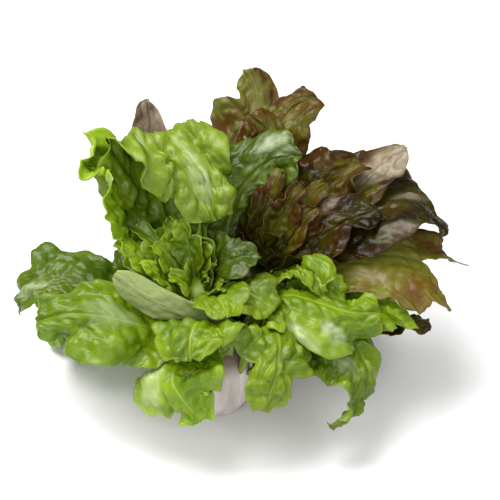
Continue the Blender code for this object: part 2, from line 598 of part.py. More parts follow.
def add_mesh(name, vertices, faces, slot=None):
    """A new object in the scene from vertices and faces, with its own material if a slot is given."""
    mesh = bpy.data.meshes.new(name)
    mesh.from_pydata(np.asarray(vertices).tolist(), [], [list(f) for f in np.asarray(faces).tolist()])
    mesh.update()
    obj = bpy.data.objects.new(name, mesh)
    bpy.context.scene.collection.objects.link(obj)
    if slot:
        material = bpy.data.materials.new(f"{name}_{slot}")
        material.use_nodes = True
        shader = material.node_tree.nodes["Principled BSDF"]
        shader.inputs["Base Color"].default_value = COLOURS[slot]
        shader.inputs["Roughness"].default_value = 0.5
        material.diffuse_color = COLOURS[slot]
        mesh.materials.append(material)
    return obj


def ring_body(rings):
    """A closed body through rings of points, bottom to top, each a closed loop counterclockwise from
    above."""
    count, sides = rings.shape[:2]
    vertices = np.vstack([rings.reshape(-1, 3), rings[0].mean(axis=0), rings[-1].mean(axis=0)])
    index = np.arange(count * sides).reshape(count, sides)
    ahead = np.roll(index, -1, axis=1)
    a, b, c, d = index[:-1], ahead[:-1], ahead[1:], index[1:]
    walls = np.concatenate([np.stack([a, b, c], -1).reshape(-1, 3), np.stack([a, c, d], -1).reshape(-1, 3)])
    foot, top = count * sides, count * sides + 1
    below = np.stack([ahead[0], index[0], np.full(sides, foot)], -1)
    above = np.stack([index[-1], ahead[-1], np.full(sides, top)], -1)
    return vertices, np.concatenate([walls, below, above])


def base_rings(grown=0.0):
    """The base: its profile turned round the axis, with the bottoms of the leaf stalks standing out as
    flutes that fade at the foot and at the crown. The profile is moved outward by `grown`."""
    z = BASE_HEIGHT * np.array([0.0, 0.05, 0.16, 0.30, 0.45, 0.60, 0.74, 0.86, 0.95, 1.0])
    angle = np.linspace(0.0, 2 * math.pi, 36, endpoint=False)
    flute = 0.0011 * np.sin(math.pi * np.clip(z / BASE_HEIGHT * 1.1 - 0.05, 0, 1))[:, None]
    wave = np.abs(np.sin(4.5 * angle + 0.4 * np.sin(2 * angle + 1.0) + 25.0 * z[:, None]))
    radius = base_radius(z)[:, None] + flute * (wave - 0.6) + grown
    z = z + grown * np.where(np.arange(len(z)) == len(z) - 1, 1.0, 0.0)
    z[0] -= grown
    level = np.broadcast_to(z[:, None], radius.shape)
    return np.stack([radius * np.cos(angle), radius * np.sin(angle), level], -1)


def core_rings(core, grown=0.0):
    """A heart's core: an ellipsoid in rings."""
    centre, radii = CORES[core]
    lift = np.radians([-75.0, -50.0, -25.0, 0.0, 25.0, 50.0, 75.0])[:, None]
    angle = np.linspace(0.0, 2 * math.pi, 14, endpoint=False)[None, :]
    x = centre[0] + (radii[0] + grown) * np.cos(lift) * np.cos(angle)
    y = centre[1] + (radii[1] + grown) * np.cos(lift) * np.sin(angle)
    z = centre[2] + (radii[2] + grown) * np.sin(lift) + 0.0 * angle
    return np.stack([x, y, z], -1)


def apply_boolean(obj, operation, other=None, group=None):
    """Applies one Boolean to the object, with another object or with a collection."""
    cut = obj.modifiers.new("join", "BOOLEAN")
    cut.operation, cut.solver = operation, "MANIFOLD"
    if group is None:
        cut.object = other
    else:
        cut.operand_type, cut.collection = "COLLECTION", group
    graph = bpy.context.evaluated_depsgraph_get()
    mesh = bpy.data.meshes.new_from_object(obj.evaluated_get(graph))
    obj.modifiers.clear()
    old = obj.data
    obj.data = mesh
    bpy.data.meshes.remove(old)


def keep_largest(obj):
    """Drops every loose piece of the object but the one with the most volume."""
    mesh = bmesh.new()
    mesh.from_mesh(obj.data)
    mesh.verts.ensure_lookup_table()
    unseen, pieces = set(mesh.verts), []
    while unseen:
        front, piece = [unseen.pop()], []
        while front:
            vert = front.pop()
            piece.append(vert)
            for edge in vert.link_edges:
                other = edge.other_vert(vert)
                if other in unseen:
                    unseen.remove(other)
                    front.append(other)
        pieces.append(piece)
    if len(pieces) > 1:
        def volume(piece):
            faces = {face for vert in piece for face in vert.link_faces}
            return abs(sum(f.verts[0].co.dot(f.verts[i].co.cross(f.verts[i + 1].co))
                           for f in faces for i in range(1, len(f.verts) - 1)))
        pieces.sort(key=volume)
        bmesh.ops.delete(mesh, geom=[vert for piece in pieces[:-1] for vert in piece], context="VERTS")
    mesh.to_mesh(obj.data)
    mesh.free()


def tree_of(obj):
    """A search tree over the object's faces."""
    mesh = bmesh.new()
    mesh.from_mesh(obj.data)
    tree = BVHTree.FromBMesh(mesh)
    mesh.free()
    return tree


def cut_clear(obj, grid, thickness):
    """Cuts the object clear of a leaf, if they cross, with that leaf grown by the gap."""
    vertices, faces = closed_blade(grid, grid.shape[1], thickness, GAP, GAP, GAP)
    if tree_of(obj).overlap(BVHTree.FromPolygons(vertices.tolist(), faces.tolist())):
        cutter = add_mesh("leaf_cutter", vertices, faces)
        apply_boolean(obj, "DIFFERENCE", other=cutter)
        bpy.data.objects.remove(cutter)


def trim_crossings(leaves, grids, thicknesses, blades, hearts):
    """Where two leaves still cross, deep among the stalks, cuts the outer one clear of the inner one,
    and then whatever still touches the other way round."""
    order = sorted(range(len(leaves)), key=lambda k: leaves[k].layer)
    for i, outer in enumerate(order):
        if leaves[outer].name in blades:
            for inner in order[i + 1:]:
                cut_clear(blades[leaves[outer].name], grids[inner], thicknesses[inner])
    large = [k for k in order if leaves[k].name in blades]
    for i, outer in enumerate(large):
        tree = tree_of(blades[leaves[outer].name])
        others = [blades[leaves[k].name] for k in large[i + 1:]] + list(hearts.values())
        for obj in others:
            if tree.overlap(tree_of(obj)):
                cut_clear(obj, grids[outer], thicknesses[outer])
    for heart in hearts.values():
        keep_largest(heart)


def main():
    for obj in list(bpy.data.objects):
        bpy.data.objects.remove(obj)
    leaves = GREEN_LEAVES + RED_LEAVES + GREEN_HEART + RED_HEART
    grids = [leaf_surface(leaf, leaf.rows, margin_shares(leaf.columns)) for leaf in leaves]
    thicknesses = [leaf_thickness(leaf, leaf.rows, margin_shares(leaf.columns)) for leaf in leaves]
    settle(leaves, grids, thicknesses)

    base = add_mesh("stem_base", *ring_body(base_rings()), slot="base")
    base_cutter = add_mesh("base_cutter", *ring_body(base_rings(GAP)))
    hearts = {}
    cutters = [base_cutter]
    for core in CORES:
        hearts[core] = add_mesh(f"{core}_heart", *ring_body(core_rings(core)), slot=f"{core}_heart")
        cutters.append(add_mesh(f"{core}_cutter", *ring_body(core_rings(core, GAP))))
    blades = {}
    for leaf, grid, thickness in zip(leaves, grids, thicknesses):
        vertices, faces = closed_blade(grid, grid.shape[1], thickness)
        inner = "_heart_" in leaf.name
        colour = leaf.name.split("_")[0]
        blades[leaf.name] = add_mesh(leaf.name, vertices, faces, None if inner else f"{colour}_leaf")
    for core, heart in hearts.items():
        group = bpy.data.collections.new(core)
        members = [obj for name, obj in blades.items() if name.startswith(f"{core}_heart_")]
        for obj in members:
            group.objects.link(obj)
        apply_boolean(heart, "UNION", group=group)
        for obj in members:
            del blades[obj.name]
            bpy.data.objects.remove(obj)
        keep_largest(heart)
    trim_crossings(leaves, grids, thicknesses, blades, hearts)
    for name, obj in blades.items():
        for cutter in cutters:
            if tree_of(obj).overlap(tree_of(cutter)):
                apply_boolean(obj, "DIFFERENCE", other=cutter)
        keep_largest(obj)
    for heart in hearts.values():
        if tree_of(heart).overlap(tree_of(base_cutter)):
            apply_boolean(heart, "DIFFERENCE", other=base_cutter)
            keep_largest(heart)
    for cutter in cutters:
        bpy.data.objects.remove(cutter)


if __name__ == "__main__":
    main()
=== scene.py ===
"""The looks of a duo oak-leaf lettuce: fine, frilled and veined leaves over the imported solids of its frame.

Metres, +Z up, the origin at the middle of the base's flat underside. -Y is the front.
Each leaf is a surface over two parameters, s along its midrib and u across it, worked out as whole arrays.
A leaf's ccw half is the one on the counterclockwise side of its heading, seen from above; the other is its
cw half.
"""
import math
from dataclasses import dataclass
from functools import lru_cache

import bpy
import numpy as np
from bpy.props import FloatProperty, FloatVectorProperty, PointerProperty
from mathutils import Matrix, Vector
from mathutils.bvhtree import BVHTree


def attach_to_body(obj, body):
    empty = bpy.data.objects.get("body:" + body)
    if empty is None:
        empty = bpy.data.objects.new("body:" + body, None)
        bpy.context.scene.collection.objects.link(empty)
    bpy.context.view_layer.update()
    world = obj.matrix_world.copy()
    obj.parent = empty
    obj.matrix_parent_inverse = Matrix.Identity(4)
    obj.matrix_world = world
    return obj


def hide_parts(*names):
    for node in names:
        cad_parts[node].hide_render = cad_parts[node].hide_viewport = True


bl_info = {
    "name": "Oak-Leaf Lettuce",
    "version": (1, 0, 0),
    "blender": (4, 5, 0),
    "location": "3D View > Sidebar > Lettuce",
    "description": "Builds the fine leaves, the stem base and the studio of a duo oak-leaf lettuce",
    "category": "Object",
}

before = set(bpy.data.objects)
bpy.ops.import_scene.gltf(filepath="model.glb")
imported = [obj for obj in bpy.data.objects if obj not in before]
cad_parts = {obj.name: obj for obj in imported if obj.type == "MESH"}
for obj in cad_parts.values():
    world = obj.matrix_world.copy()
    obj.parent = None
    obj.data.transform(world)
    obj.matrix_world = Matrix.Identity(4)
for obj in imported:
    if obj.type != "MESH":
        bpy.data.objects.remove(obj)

# Sizes of the solids in metres. The fine leaves are worked out again from them and from the same leaves.
BASE_WIDTH = 0.0386
BASE_FOOT_RADIUS = 0.0105
BASE_HEIGHT = 0.059
BLADE = 0.0008
RIB_DEPTH = 0.0018
RIB_WIDTH = 0.0032
FULL_RIB_LENGTH = 0.11
CLEARANCE = 0.0019
FLOOR_CLEARANCE = 0.0012
GOLDEN_ANGLE = math.radians(137.508)

# The middle and the three radii of each heart's core.
CORES = {
    "green": ((-0.0090, 0.0000, 0.0750), (0.0140, 0.0165, 0.0150)),
    "red": ((0.0180, 0.0160, 0.0735), (0.0130, 0.0150, 0.0140)),
}


@dataclass
class Leaf:
    """One leaf: its layer (0 outermost, 1 innermost), its midrib's waypoints past the root, its outline,
    how its two halves are carried and how its margin waves."""

    name: str
    layer: float
    path: tuple
    width: tuple = (0.026, 0.026)
    belly: float = 0.64
    neck: float = 0.20
    lobes: tuple = (3, 3)
    depth: float = 0.30
    point: float = 0.85
    fork: bool = False
    fold: tuple = (12, 12)
    curl: tuple = (0, 0)
    twist: tuple = (0, 0)
    wave: float = 0.005
    waves: float = 2.5
    heading: float = None
    rows: int = 15
    columns: int = 3
    seed: int = 1


GREEN_LEAVES = (
    Leaf("green_leaf_hidden_left", 0.03,
         ((-0.040, 0.024, 0.044), (-0.072, 0.044, 0.040), (-0.094, 0.057, 0.000)),
         width=(0.028, 0.028), fold=(8, 8), curl=(-20, -20), depth=0.28, rows=13, columns=2, seed=47),
    Leaf("green_leaf_hidden_back", 0.02,
         ((-0.014, 0.042, 0.058), (-0.026, 0.078, 0.056), (-0.032, 0.104, 0.024)),
         width=(0.028, 0.028), fold=(10, 10), curl=(-20, -20), depth=0.28, rows=13, columns=2, seed=53),
    Leaf("green_leaf_front_left", 0.08,
         ((-0.010, -0.028, 0.055), (-0.018, -0.046, 0.068), (-0.021, -0.060, 0.062),
          (-0.009, -0.067, 0.041)),
         width=(0.030, 0.031), belly=0.72, fold=(-10, -16), curl=(-10, -30), depth=0.26, wave=0.005,
         waves=3.0, heading=260, seed=11),
    Leaf("green_leaf_front_right", 0.10,
         ((0.034, -0.016, 0.053), (0.064, -0.026, 0.061), (0.079, -0.040, 0.052), (0.075, -0.052, 0.038),
          (0.064, -0.058, 0.029)),
         width=(0.021, 0.020), belly=0.60, point=1.0, fold=(4, -20), curl=(-20, -6), lobes=(2, 2),
         depth=0.24, wave=0.003, heading=-35, waves=2.5, seed=17),
    Leaf("green_leaf_far_left", 0.12,
         ((-0.036, 0.006, 0.058), (-0.070, 0.012, 0.074), (-0.098, 0.013, 0.074), (-0.114, 0.010, 0.064)),
         width=(0.026, 0.034), fold=(-6, 18), curl=(-40, -10), depth=0.34, wave=0.005, seed=3),
    Leaf("green_leaf_front", 0.16,
         ((0.021, -0.020, 0.063), (0.027, -0.031, 0.083), (0.030, -0.045, 0.083), (0.030, -0.058, 0.070),
          (0.027, -0.066, 0.050)),
         width=(0.026, 0.027), neck=0.14, fold=(-14, -8), curl=(-20, -10), lobes=(2, 2), depth=0.42,
         wave=0.003, waves=2.0, heading=290, seed=13),
    Leaf("green_leaf_left", 0.20,
         ((-0.026, -0.022, 0.066), (-0.058, -0.034, 0.088), (-0.082, -0.036, 0.092),
          (-0.100, -0.033, 0.084)),
         width=(0.028, 0.026), fold=(-34, 22), curl=(-24, -20), depth=0.26, wave=0.005, waves=3.5, seed=5),
    Leaf("green_leaf_forked", 0.22,
         ((0.040, 0.000, 0.060), (0.078, 0.003, 0.072), (0.102, 0.005, 0.073), (0.122, 0.006, 0.063)),
         width=(0.021, 0.021), belly=0.78, fold=(8, -20), curl=(0, -30), lobes=(2, 2), depth=0.28,
         fork=True, wave=0.002, seed=23),
    Leaf("green_leaf_front_middle", 0.25,
         ((-0.004, -0.024, 0.069), (-0.010, -0.038, 0.088), (-0.014, -0.051, 0.087),
          (-0.014, -0.061, 0.076)),
         width=(0.026, 0.031), neck=0.12, belly=0.62, fold=(-6, -6), curl=(-20, -20), lobes=(2, 2),
         depth=0.20, wave=0.004, heading=265, rows=13, columns=2, seed=27),
    Leaf("green_leaf_back_left", 0.38,
         ((-0.022, 0.015, 0.080), (-0.048, 0.030, 0.112), (-0.064, 0.038, 0.140), (-0.074, 0.034, 0.149)),
         width=(0.036, 0.040), fold=(22, -6), curl=(-20, -16), depth=0.30, wave=0.006, waves=3.0,
         heading=150, seed=37),
    Leaf("green_leaf_right", 0.45,
         ((0.020, -0.008, 0.074), (0.038, -0.014, 0.086), (0.057, -0.019, 0.083), (0.075, -0.018, 0.076),
          (0.089, -0.010, 0.070)),
         width=(0.026, 0.031), neck=0.34, fold=(14, -38), curl=(-20, -16), depth=0.26, wave=0.0045,
         waves=4.0, seed=19),
    Leaf("green_leaf_rolled", 0.48,
         ((0.010, -0.018, 0.068), (-0.004, -0.026, 0.081), (-0.034, -0.028, 0.097),
          (-0.057, -0.022, 0.106)),
         width=(0.010, 0.012), neck=0.12, fold=(8, 8), curl=(20, 20), twist=(30, 125), lobes=(1, 1),
         depth=0.05, wave=0.001, heading=200, columns=2, rows=13, seed=7),
    Leaf("green_leaf_folded_over", 0.52,
         ((-0.022, 0.026, 0.090), (-0.034, 0.046, 0.126), (-0.033, 0.052, 0.147), (-0.024, 0.042, 0.156),
          (-0.010, 0.025, 0.144), (-0.002, 0.013, 0.120)),
         width=(0.038, 0.026), neck=0.26, belly=0.66, fold=(4, 2), curl=(-8, -8), depth=0.30, wave=0.005,
         waves=4.0, heading=104, rows=17, seed=41),
    Leaf("green_leaf_behind", 0.60,
         ((0.002, 0.023, 0.090), (0.010, 0.040, 0.119), (0.027, 0.050, 0.134), (0.047, 0.051, 0.137)),
         width=(0.023, 0.024), neck=0.26, belly=0.70, point=0.70, fold=(18, 10), curl=(-20, -20),
         lobes=(2, 2), depth=0.12, wave=0.003, heading=62, seed=31),
    Leaf("green_leaf_curled", 0.70,
         ((0.028, 0.003, 0.082), (0.041, 0.003, 0.096), (0.050, 0.003, 0.104), (0.060, -0.002, 0.098)),
         width=(0.013, 0.013), neck=0.26, fold=(20, 10), lobes=(1, 1), depth=0.12, wave=0.002, columns=2,
         rows=13, seed=29),
)

RED_LEAVES = (
    Leaf("red_leaf_hidden_right", 0.04,
         ((0.031, 0.042, 0.048), (0.056, 0.076, 0.040), (0.073, 0.096, 0.001)),
         width=(0.028, 0.028), fold=(10, 10), curl=(-20, -20), depth=0.30, rows=13, columns=2, seed=107),
    Leaf("red_leaf_hidden_back", 0.05,
         ((0.008, 0.050, 0.050), (0.014, 0.088, 0.050), (0.016, 0.112, 0.022)),
         width=(0.028, 0.028), fold=(10, 10), curl=(-20, -20), depth=0.30, rows=13, columns=2, seed=103),
    Leaf("red_leaf_under_right", 0.06,
         ((0.050, 0.010, 0.044), (0.090, 0.016, 0.051), (0.121, 0.018, 0.046)),
         width=(0.018, 0.018), fold=(0, -6), depth=0.42, wave=0.003, rows=13, columns=2, seed=83),
    Leaf("red_leaf_low_right", 0.14,
         ((0.045, 0.012, 0.056), (0.078, 0.020, 0.064), (0.104, 0.030, 0.068)),
         width=(0.016, 0.014), fold=(6, 0), lobes=(2, 2), depth=0.20, wave=0.003, columns=2, rows=13,
         seed=79),
    Leaf("red_leaf_arrow", 0.30,
         ((0.046, 0.013, 0.071), (0.084, 0.025, 0.089), (0.118, 0.026, 0.083), (0.146, 0.019, 0.067)),
         width=(0.027, 0.036), neck=0.26, belly=0.80, fold=(10, -14), curl=(-10, -6), lobes=(2, 2),
         depth=0.16, fork=True, wave=0.003, seed=59),
    Leaf("red_leaf_back_tip", 0.32,
         ((-0.018, 0.042, 0.090), (-0.034, 0.076, 0.122), (-0.042, 0.096, 0.148)),
         width=(0.026, 0.012), neck=0.26, belly=0.62, point=1.25, fold=(10, 10), lobes=(2, 1), depth=0.20,
         wave=0.002, heading=112, rows=13, columns=2, seed=101),
    Leaf("red_leaf_far_right", 0.34,
         ((0.047, 0.036, 0.084), (0.086, 0.049, 0.106), (0.113, 0.055, 0.106), (0.131, 0.052, 0.089)),
         width=(0.035, 0.037), neck=0.26, belly=0.68, point=0.65, fold=(8, 4), curl=(-24, -16),
         lobes=(2, 2), depth=0.12, wave=0.004, seed=61),
    Leaf("red_leaf_top_left", 0.36,
         ((0.008, 0.042, 0.098), (0.019, 0.074, 0.134), (0.022, 0.092, 0.153), (0.018, 0.103, 0.165)),
         width=(0.031, 0.022), neck=0.26, belly=0.80, point=1.15, fold=(-14, 6), curl=(-10, 0),
         lobes=(3, 2), depth=0.42, wave=0.003, heading=86, seed=88),
    Leaf("red_leaf_pale_tip", 0.40,
         ((0.044, 0.043, 0.086), (0.081, 0.064, 0.112), (0.109, 0.080, 0.126)),
         width=(0.020, 0.020), neck=0.26, belly=0.72, fold=(10, 10), lobes=(2, 2), depth=0.10, wave=0.002,
         rows=13, seed=67),
    Leaf("red_leaf_top_right", 0.42,
         ((0.021, 0.044, 0.094), (0.030, 0.070, 0.128), (0.042, 0.085, 0.147), (0.058, 0.092, 0.152)),
         width=(0.021, 0.020), neck=0.30, belly=0.72, point=0.70, fold=(4, 4), curl=(-10, -20),
         lobes=(2, 2), depth=0.16, wave=0.003, heading=50, seed=97),
    Leaf("red_leaf_fan", 0.50, ((0.040, 0.040, 0.092), (0.064, 0.058, 0.112), (0.085, 0.068, 0.124)),
         width=(0.030, 0.024), neck=0.26, belly=0.70, fold=(12, 8), curl=(-10, -10), depth=0.20, wave=0.005,
         waves=3.5, seed=71),
    Leaf("red_leaf_top_front", 0.55,
         ((0.014, 0.036, 0.096), (0.026, 0.058, 0.124), (0.028, 0.070, 0.141), (0.018, 0.077, 0.149)),
         width=(0.019, 0.016), neck=0.30, belly=0.70, fold=(4, 4), lobes=(2, 2), depth=0.16, wave=0.003,
         heading=90, rows=13, columns=2, seed=113),
    Leaf("red_leaf_cupped", 0.58,
         ((0.040, 0.015, 0.080), (0.066, 0.030, 0.098), (0.094, 0.038, 0.108)),
         width=(0.022, 0.018), neck=0.26, fold=(24, 18), curl=(30, 10), lobes=(2, 2), depth=0.18,
         wave=0.004, rows=13, seed=73),
)


def heart_leaves(colour, count, centre, height, spread, width, first_seed):
    """The small leaves of a heart, one every golden angle: the inner ones stand closer and the back ones
    taller."""
    start = np.array(CORES[colour][0])
    other = CORES["red" if colour == "green" else "green"][0]
    facing = math.atan2(other[1] - start[1], other[0] - start[0])
    leaves = []
    for k in range(count):
        share = k / (count - 1)
        angle = GOLDEN_ANGLE * k + 0.6
        draw = np.random.default_rng(first_seed + k)
        reach = spread * (1.0 - 0.60 * share) * draw.uniform(0.9, 1.1)
        reach *= 1.0 - 0.45 * max(0.0, math.cos(angle - facing))
        x, y = math.cos(angle), math.sin(angle)
        tip = np.array([centre[0] + reach * x, centre[1] + reach * y,
                        height + 0.018 * y + draw.uniform(-0.005, 0.005)])
        lean = start + (tip - start) * (0.42, 0.42, 0.55)
        bow = start + (tip - start) * (0.74, 0.74, 0.90)
        leaves.append(Leaf(
            f"{colour}_heart_{k}", 0.75 + 0.25 * share, (tuple(lean), tuple(bow), tuple(tip)),
            width=(width, width), belly=0.70, lobes=(2, 2), depth=0.46, fold=(20, 20), curl=(-16, -16),
            wave=0.0026, waves=1.5, heading=math.degrees(angle), rows=8, columns=2, seed=first_seed + k))
    return tuple(leaves)


# What the three leaves at the green heart's front and right share.
FRONT_LEAF = dict(belly=0.70, neck=0.26, lobes=(2, 2), depth=0.20, fold=(14, 14), curl=(-20, -20),
                  wave=0.002, waves=1.5, rows=8, columns=2)
GREEN_HEART = heart_leaves("green", 18, (-0.019, -0.002), 0.103, 0.038, 0.0115, 200) + (
    Leaf("green_heart_low_right", 0.751,
         ((0.004, -0.008, 0.089), (0.014, -0.016, 0.095), (0.028, -0.027, 0.087)),
         width=(0.018, 0.017), heading=-42, seed=241, **FRONT_LEAF),
    Leaf("green_heart_right", 0.755,
         ((0.004, 0.000, 0.095), (0.013, -0.001, 0.105), (0.026, -0.003, 0.108)),
         width=(0.013, 0.015), heading=-6, seed=242, **FRONT_LEAF),
    Leaf("green_heart_low_front", 0.753,
         ((-0.004, -0.012, 0.088), (0.001, -0.022, 0.094), (0.006, -0.037, 0.085)),
         width=(0.018, 0.017), heading=-78, seed=243, **FRONT_LEAF),
)
RED_HEART = heart_leaves("red", 11, (0.036, 0.030), 0.110, 0.028, 0.0125, 300)


def smoothstep(t):
    """0 before t = 0, 1 after t = 1, and 3t^2 - 2t^3 between."""
    t = np.clip(t, 0.0, 1.0)
    return t * t * (3.0 - 2.0 * t)


def base_radius(z):
    """The base's profile: a foot, a full round middle and a shoulder that narrows to the crown."""
    heights = np.array([0.0, 0.05, 0.16, 0.36, 0.58, 0.76, 0.90, 1.0]) * BASE_HEIGHT
    radii = np.array([BASE_FOOT_RADIUS / BASE_WIDTH, 0.36, 0.455, 0.50, 0.49, 0.45, 0.36, 0.20]) * BASE_WIDTH
    return np.interp(z, heights, radii, right=0.0)


def root_of(leaf):
    """Where a leaf's midrib starts, just inside the base: lower for the outer layers."""
    z = 0.022 + 0.032 * min(leaf.layer, 0.75) / 0.75
    angle = math.atan2(leaf.path[0][1], leaf.path[0][0])
    inside = 0.72 * float(base_radius(z))
    if leaf.layer >= 0.75:
        x, y, z = CORES[leaf.name.split("_")[0]][0]
        return (x + 0.004 * math.cos(angle), y + 0.004 * math.sin(angle), z)
    return (inside * math.cos(angle), inside * math.sin(angle), z)


def cubic(a, b, c, d, t):
    """The Catmull-Rom cubic from b at t = 0 to c at t = 1, with a before them and d after them."""
    return 0.5 * (2 * b + (c - a) * t + (2 * a - 5 * b + 4 * c - d) * t**2 + (3 * b - a - 3 * c + d) * t**3)


def curve_through(points, samples=160):
    """A Catmull-Rom curve through the waypoints, resampled at equal steps of arc length: (points,
    length)."""
    p = np.array(points, float)
    p = np.vstack([2 * p[0] - p[1], p, 2 * p[-1] - p[-2]])
    t = np.linspace(0.0, 1.0, 40, endpoint=False)[:, None]
    spans = [cubic(a, b, c, d, t) for a, b, c, d in zip(p[:-3], p[1:-2], p[2:-1], p[3:])]
    dense = np.vstack([*spans, p[-2:-1]])
    steps = np.concatenate([[0.0], np.cumsum(np.linalg.norm(np.diff(dense, axis=0), axis=1))])
    at = np.linspace(0.0, steps[-1], samples)
    return np.stack([np.interp(at, steps, dense[:, k]) for k in range(3)], axis=1), steps[-1]


def midrib_of(leaf):
    """The midrib as (points, length)."""
    return curve_through((root_of(leaf), *leaf.path))


def midrib_frame(leaf, y):
    """For each distance y along the midrib: the point there, the ccw direction across the blade and the
    direction that its upper face looks, turned about the midrib by the leaf's twist."""
    line, length = midrib_of(leaf)
    at = np.linspace(0.0, length, len(line))
    tangent = np.gradient(line, axis=0)
    tangent /= np.linalg.norm(tangent, axis=1)[:, None]
    heading = math.atan2(line[-1, 1] - line[0, 1], line[-1, 0] - line[0, 0])
    if leaf.heading is not None:
        heading = math.radians(leaf.heading)
    across = np.array([-math.sin(heading), math.cos(heading), 0.0])
    side = across - (tangent @ across)[:, None] * tangent
    side /= np.linalg.norm(side, axis=1)[:, None]
    face = np.cross(tangent, side)
    turn = np.radians(leaf.twist[0] + (leaf.twist[1] - leaf.twist[0]) * smoothstep(at / length))[:, None]
    side, face = side * np.cos(turn) + face * np.sin(turn), face * np.cos(turn) - side * np.sin(turn)
    flat = y.ravel()

    def read(values):
        return np.stack([np.interp(flat, at, values[:, k]) for k in range(3)], axis=1).reshape(*y.shape, 3)

    past = np.maximum(y - length, 0.0)[..., None]
    return read(line) + past * tangent[-1], read(side), read(face)


def outline(leaf, length, s, half, phase, teeth=0.0):
    """Where the margin of one half is at each s, in the flat blade: (x across, y along), and the y of
    the midrib point that the same vein leaves. The lobes are |cos| to a power under 1, which makes
    them broad and the cuts between them narrow, and the teeth are the same at two finer scales. A
    forked tip is two prongs: its midrib stops short of them."""
    width, lobes = leaf.width[half], leaf.lobes[half]
    share, stalk = 0.60, 0.085 * leaf.width[half]
    lower = np.clip(s / share, 0.0, 1.0)
    turn = np.clip((s - share) / (1.0 - share), 0.0, 1.0) * math.radians(48 if leaf.fork else 80)
    x = stalk + (width - stalk) * smoothstep((lower - leaf.neck) / (1.0 - leaf.neck)) ** 0.8
    x = np.where(s > share, width * np.cos(turn) ** leaf.point, x)
    y = length * np.where(s > share, leaf.belly + (1 - leaf.belly) * np.sin(turn), lower * leaf.belly)
    vein = 0.75 * s**1.15 + (0.03 if leaf.fork else 0.25) * s**4
    swept = leaf.belly - 0.75 * share**1.15 - (0.03 if leaf.fork else 0.25) * share**4
    root = np.where(s < share, y - length * swept * smoothstep((s - 0.06) / (share - 0.06)), length * vein)
    along = np.clip((s - 0.14) / 0.86, 0.0, 1.0) ** 1.1
    warped = along + 0.35 / (math.pi * lobes) * np.sin(2.6 * math.pi * along + phase) * along * (1.0 - along)
    lobe = np.abs(np.cos(math.pi * lobes * (1.0 - warped))) ** 0.6
    cut = leaf.depth * (1.0 + 0.25 * np.sin(5.0 * along + phase))
    reach = 1.0 - cut * smoothstep(along / 0.25) * (1.0 - lobe)
    if teeth:
        finer = np.abs(np.cos(math.pi * (2.7 * lobes * along + phase))) ** 0.7
        finest = np.abs(np.cos(math.pi * (7.3 * lobes * along + 2.0 * phase))) ** 0.8
        reach = reach * (1.0 + teeth * smoothstep(along / 0.2) * (finer - 0.7 + 0.4 * (finest - 0.65)))
    return x * reach, root + (y - root) * reach, root


def wave_phases(leaf):
    """The leaf's own phases, four to a half: of the margin's wave, a spare, of the lobes and of the
    crumple."""
    return np.random.default_rng(leaf.seed).uniform(0.0, 2 * math.pi, (2, 4))


def flat_half(leaf, rows, u, half, teeth):
    """One half of the blade laid flat, as grids of x across and y along, and its margin as (x, y). Each
    row is straight and runs as a vein does, from the midrib at u = 0 to the margin at u = 1."""
    s = np.linspace(0.0, 1.0, rows)
    length = midrib_of(leaf)[1]
    x_edge, y_edge, root = outline(leaf, length, s, half, wave_phases(leaf)[half, 2], teeth)
    x = u[None, :] * x_edge[:, None]
    y = root[:, None] + u[None, :] * (y_edge - root)[:, None]
    return x, y, (x_edge, y_edge)


def leaf_surface(leaf, rows, across, teeth=0.0):
    """The upper face of the leaf as a grid of points: rows from root to tip, and columns from the cw
    margin over the midrib to the ccw margin, at the given shares of the half width. Across the blade
    the slope starts at fold and changes by curl at full width. The margin waves by sines of s that
    grow from nothing at the midrib, and the blade between is crumpled by a product of sines."""
    phases = wave_phases(leaf)
    s = np.linspace(0.0, 1.0, rows)
    u = np.asarray(across, float)
    columns = len(u) - 1
    out = np.zeros((rows, 2 * columns + 1, 3))
    for half, sign in ((0, 1.0), (1, -1.0)):
        x, y, _ = flat_half(leaf, rows, u, half, teeth)
        point, side, face = midrib_frame(leaf, y)
        fold = math.radians(leaf.fold[half]) * smoothstep(s / 0.3)[:, None] + np.zeros_like(x)
        bend = math.radians(leaf.curl[half]) / leaf.width[half] + 1e-4
        slope = fold + bend * x
        over = (np.sin(slope) - np.sin(fold)) / bend
        rise = (np.cos(fold) - np.cos(slope)) / bend
        ripple = np.sin(2 * math.pi * leaf.waves * s + phases[half, 0])
        grow = smoothstep((s - 0.1) / 0.35)
        lift = leaf.wave * (u[None, :] ** 1.5) * (ripple * grow)[:, None]
        crumple = np.sin(y / 0.0065 + phases[half, 3]) * np.sin(x / 0.0070)
        lift = lift + 0.22 * leaf.wave * crumple * grow[:, None]
        over, rise = over - lift * np.sin(slope), rise + lift * np.cos(slope)
        grid = point + sign * over[..., None] * side + rise[..., None] * face
        if half == 0:
            out[:, columns:] = grid
        else:
            out[:, :columns + 1] = grid[:, ::-1]
    return out


def rib_depth(x, s, length, width):
    """How far the rounded rib under the midrib stands out at x from it: it narrows and thins towards the
    tip, and is smaller on short leaves."""
    size = min(1.0, length / FULL_RIB_LENGTH)
    spread = size * (width - 0.0018 * s)
    return RIB_DEPTH * size * (1.0 - s) ** 1.3 * np.clip(1.0 - (x / spread) ** 2, 0.0, 1.0)


def leaf_thickness(leaf, rows, across):
    """How thick the blade is at each point of the grid: the blade and the rib under its midrib."""
    s = np.linspace(0.0, 1.0, rows)[:, None]
    length = midrib_of(leaf)[1]
    halves = []
    for half in (1, 0):
        x = np.asarray(across)[None, :] * outline(leaf, length, s.ravel(), half, 0.0)[0][:, None]
        halves.append(BLADE + rib_depth(x, s, length, RIB_WIDTH))
    return np.hstack([halves[0][:, ::-1], halves[1][:, 1:]])


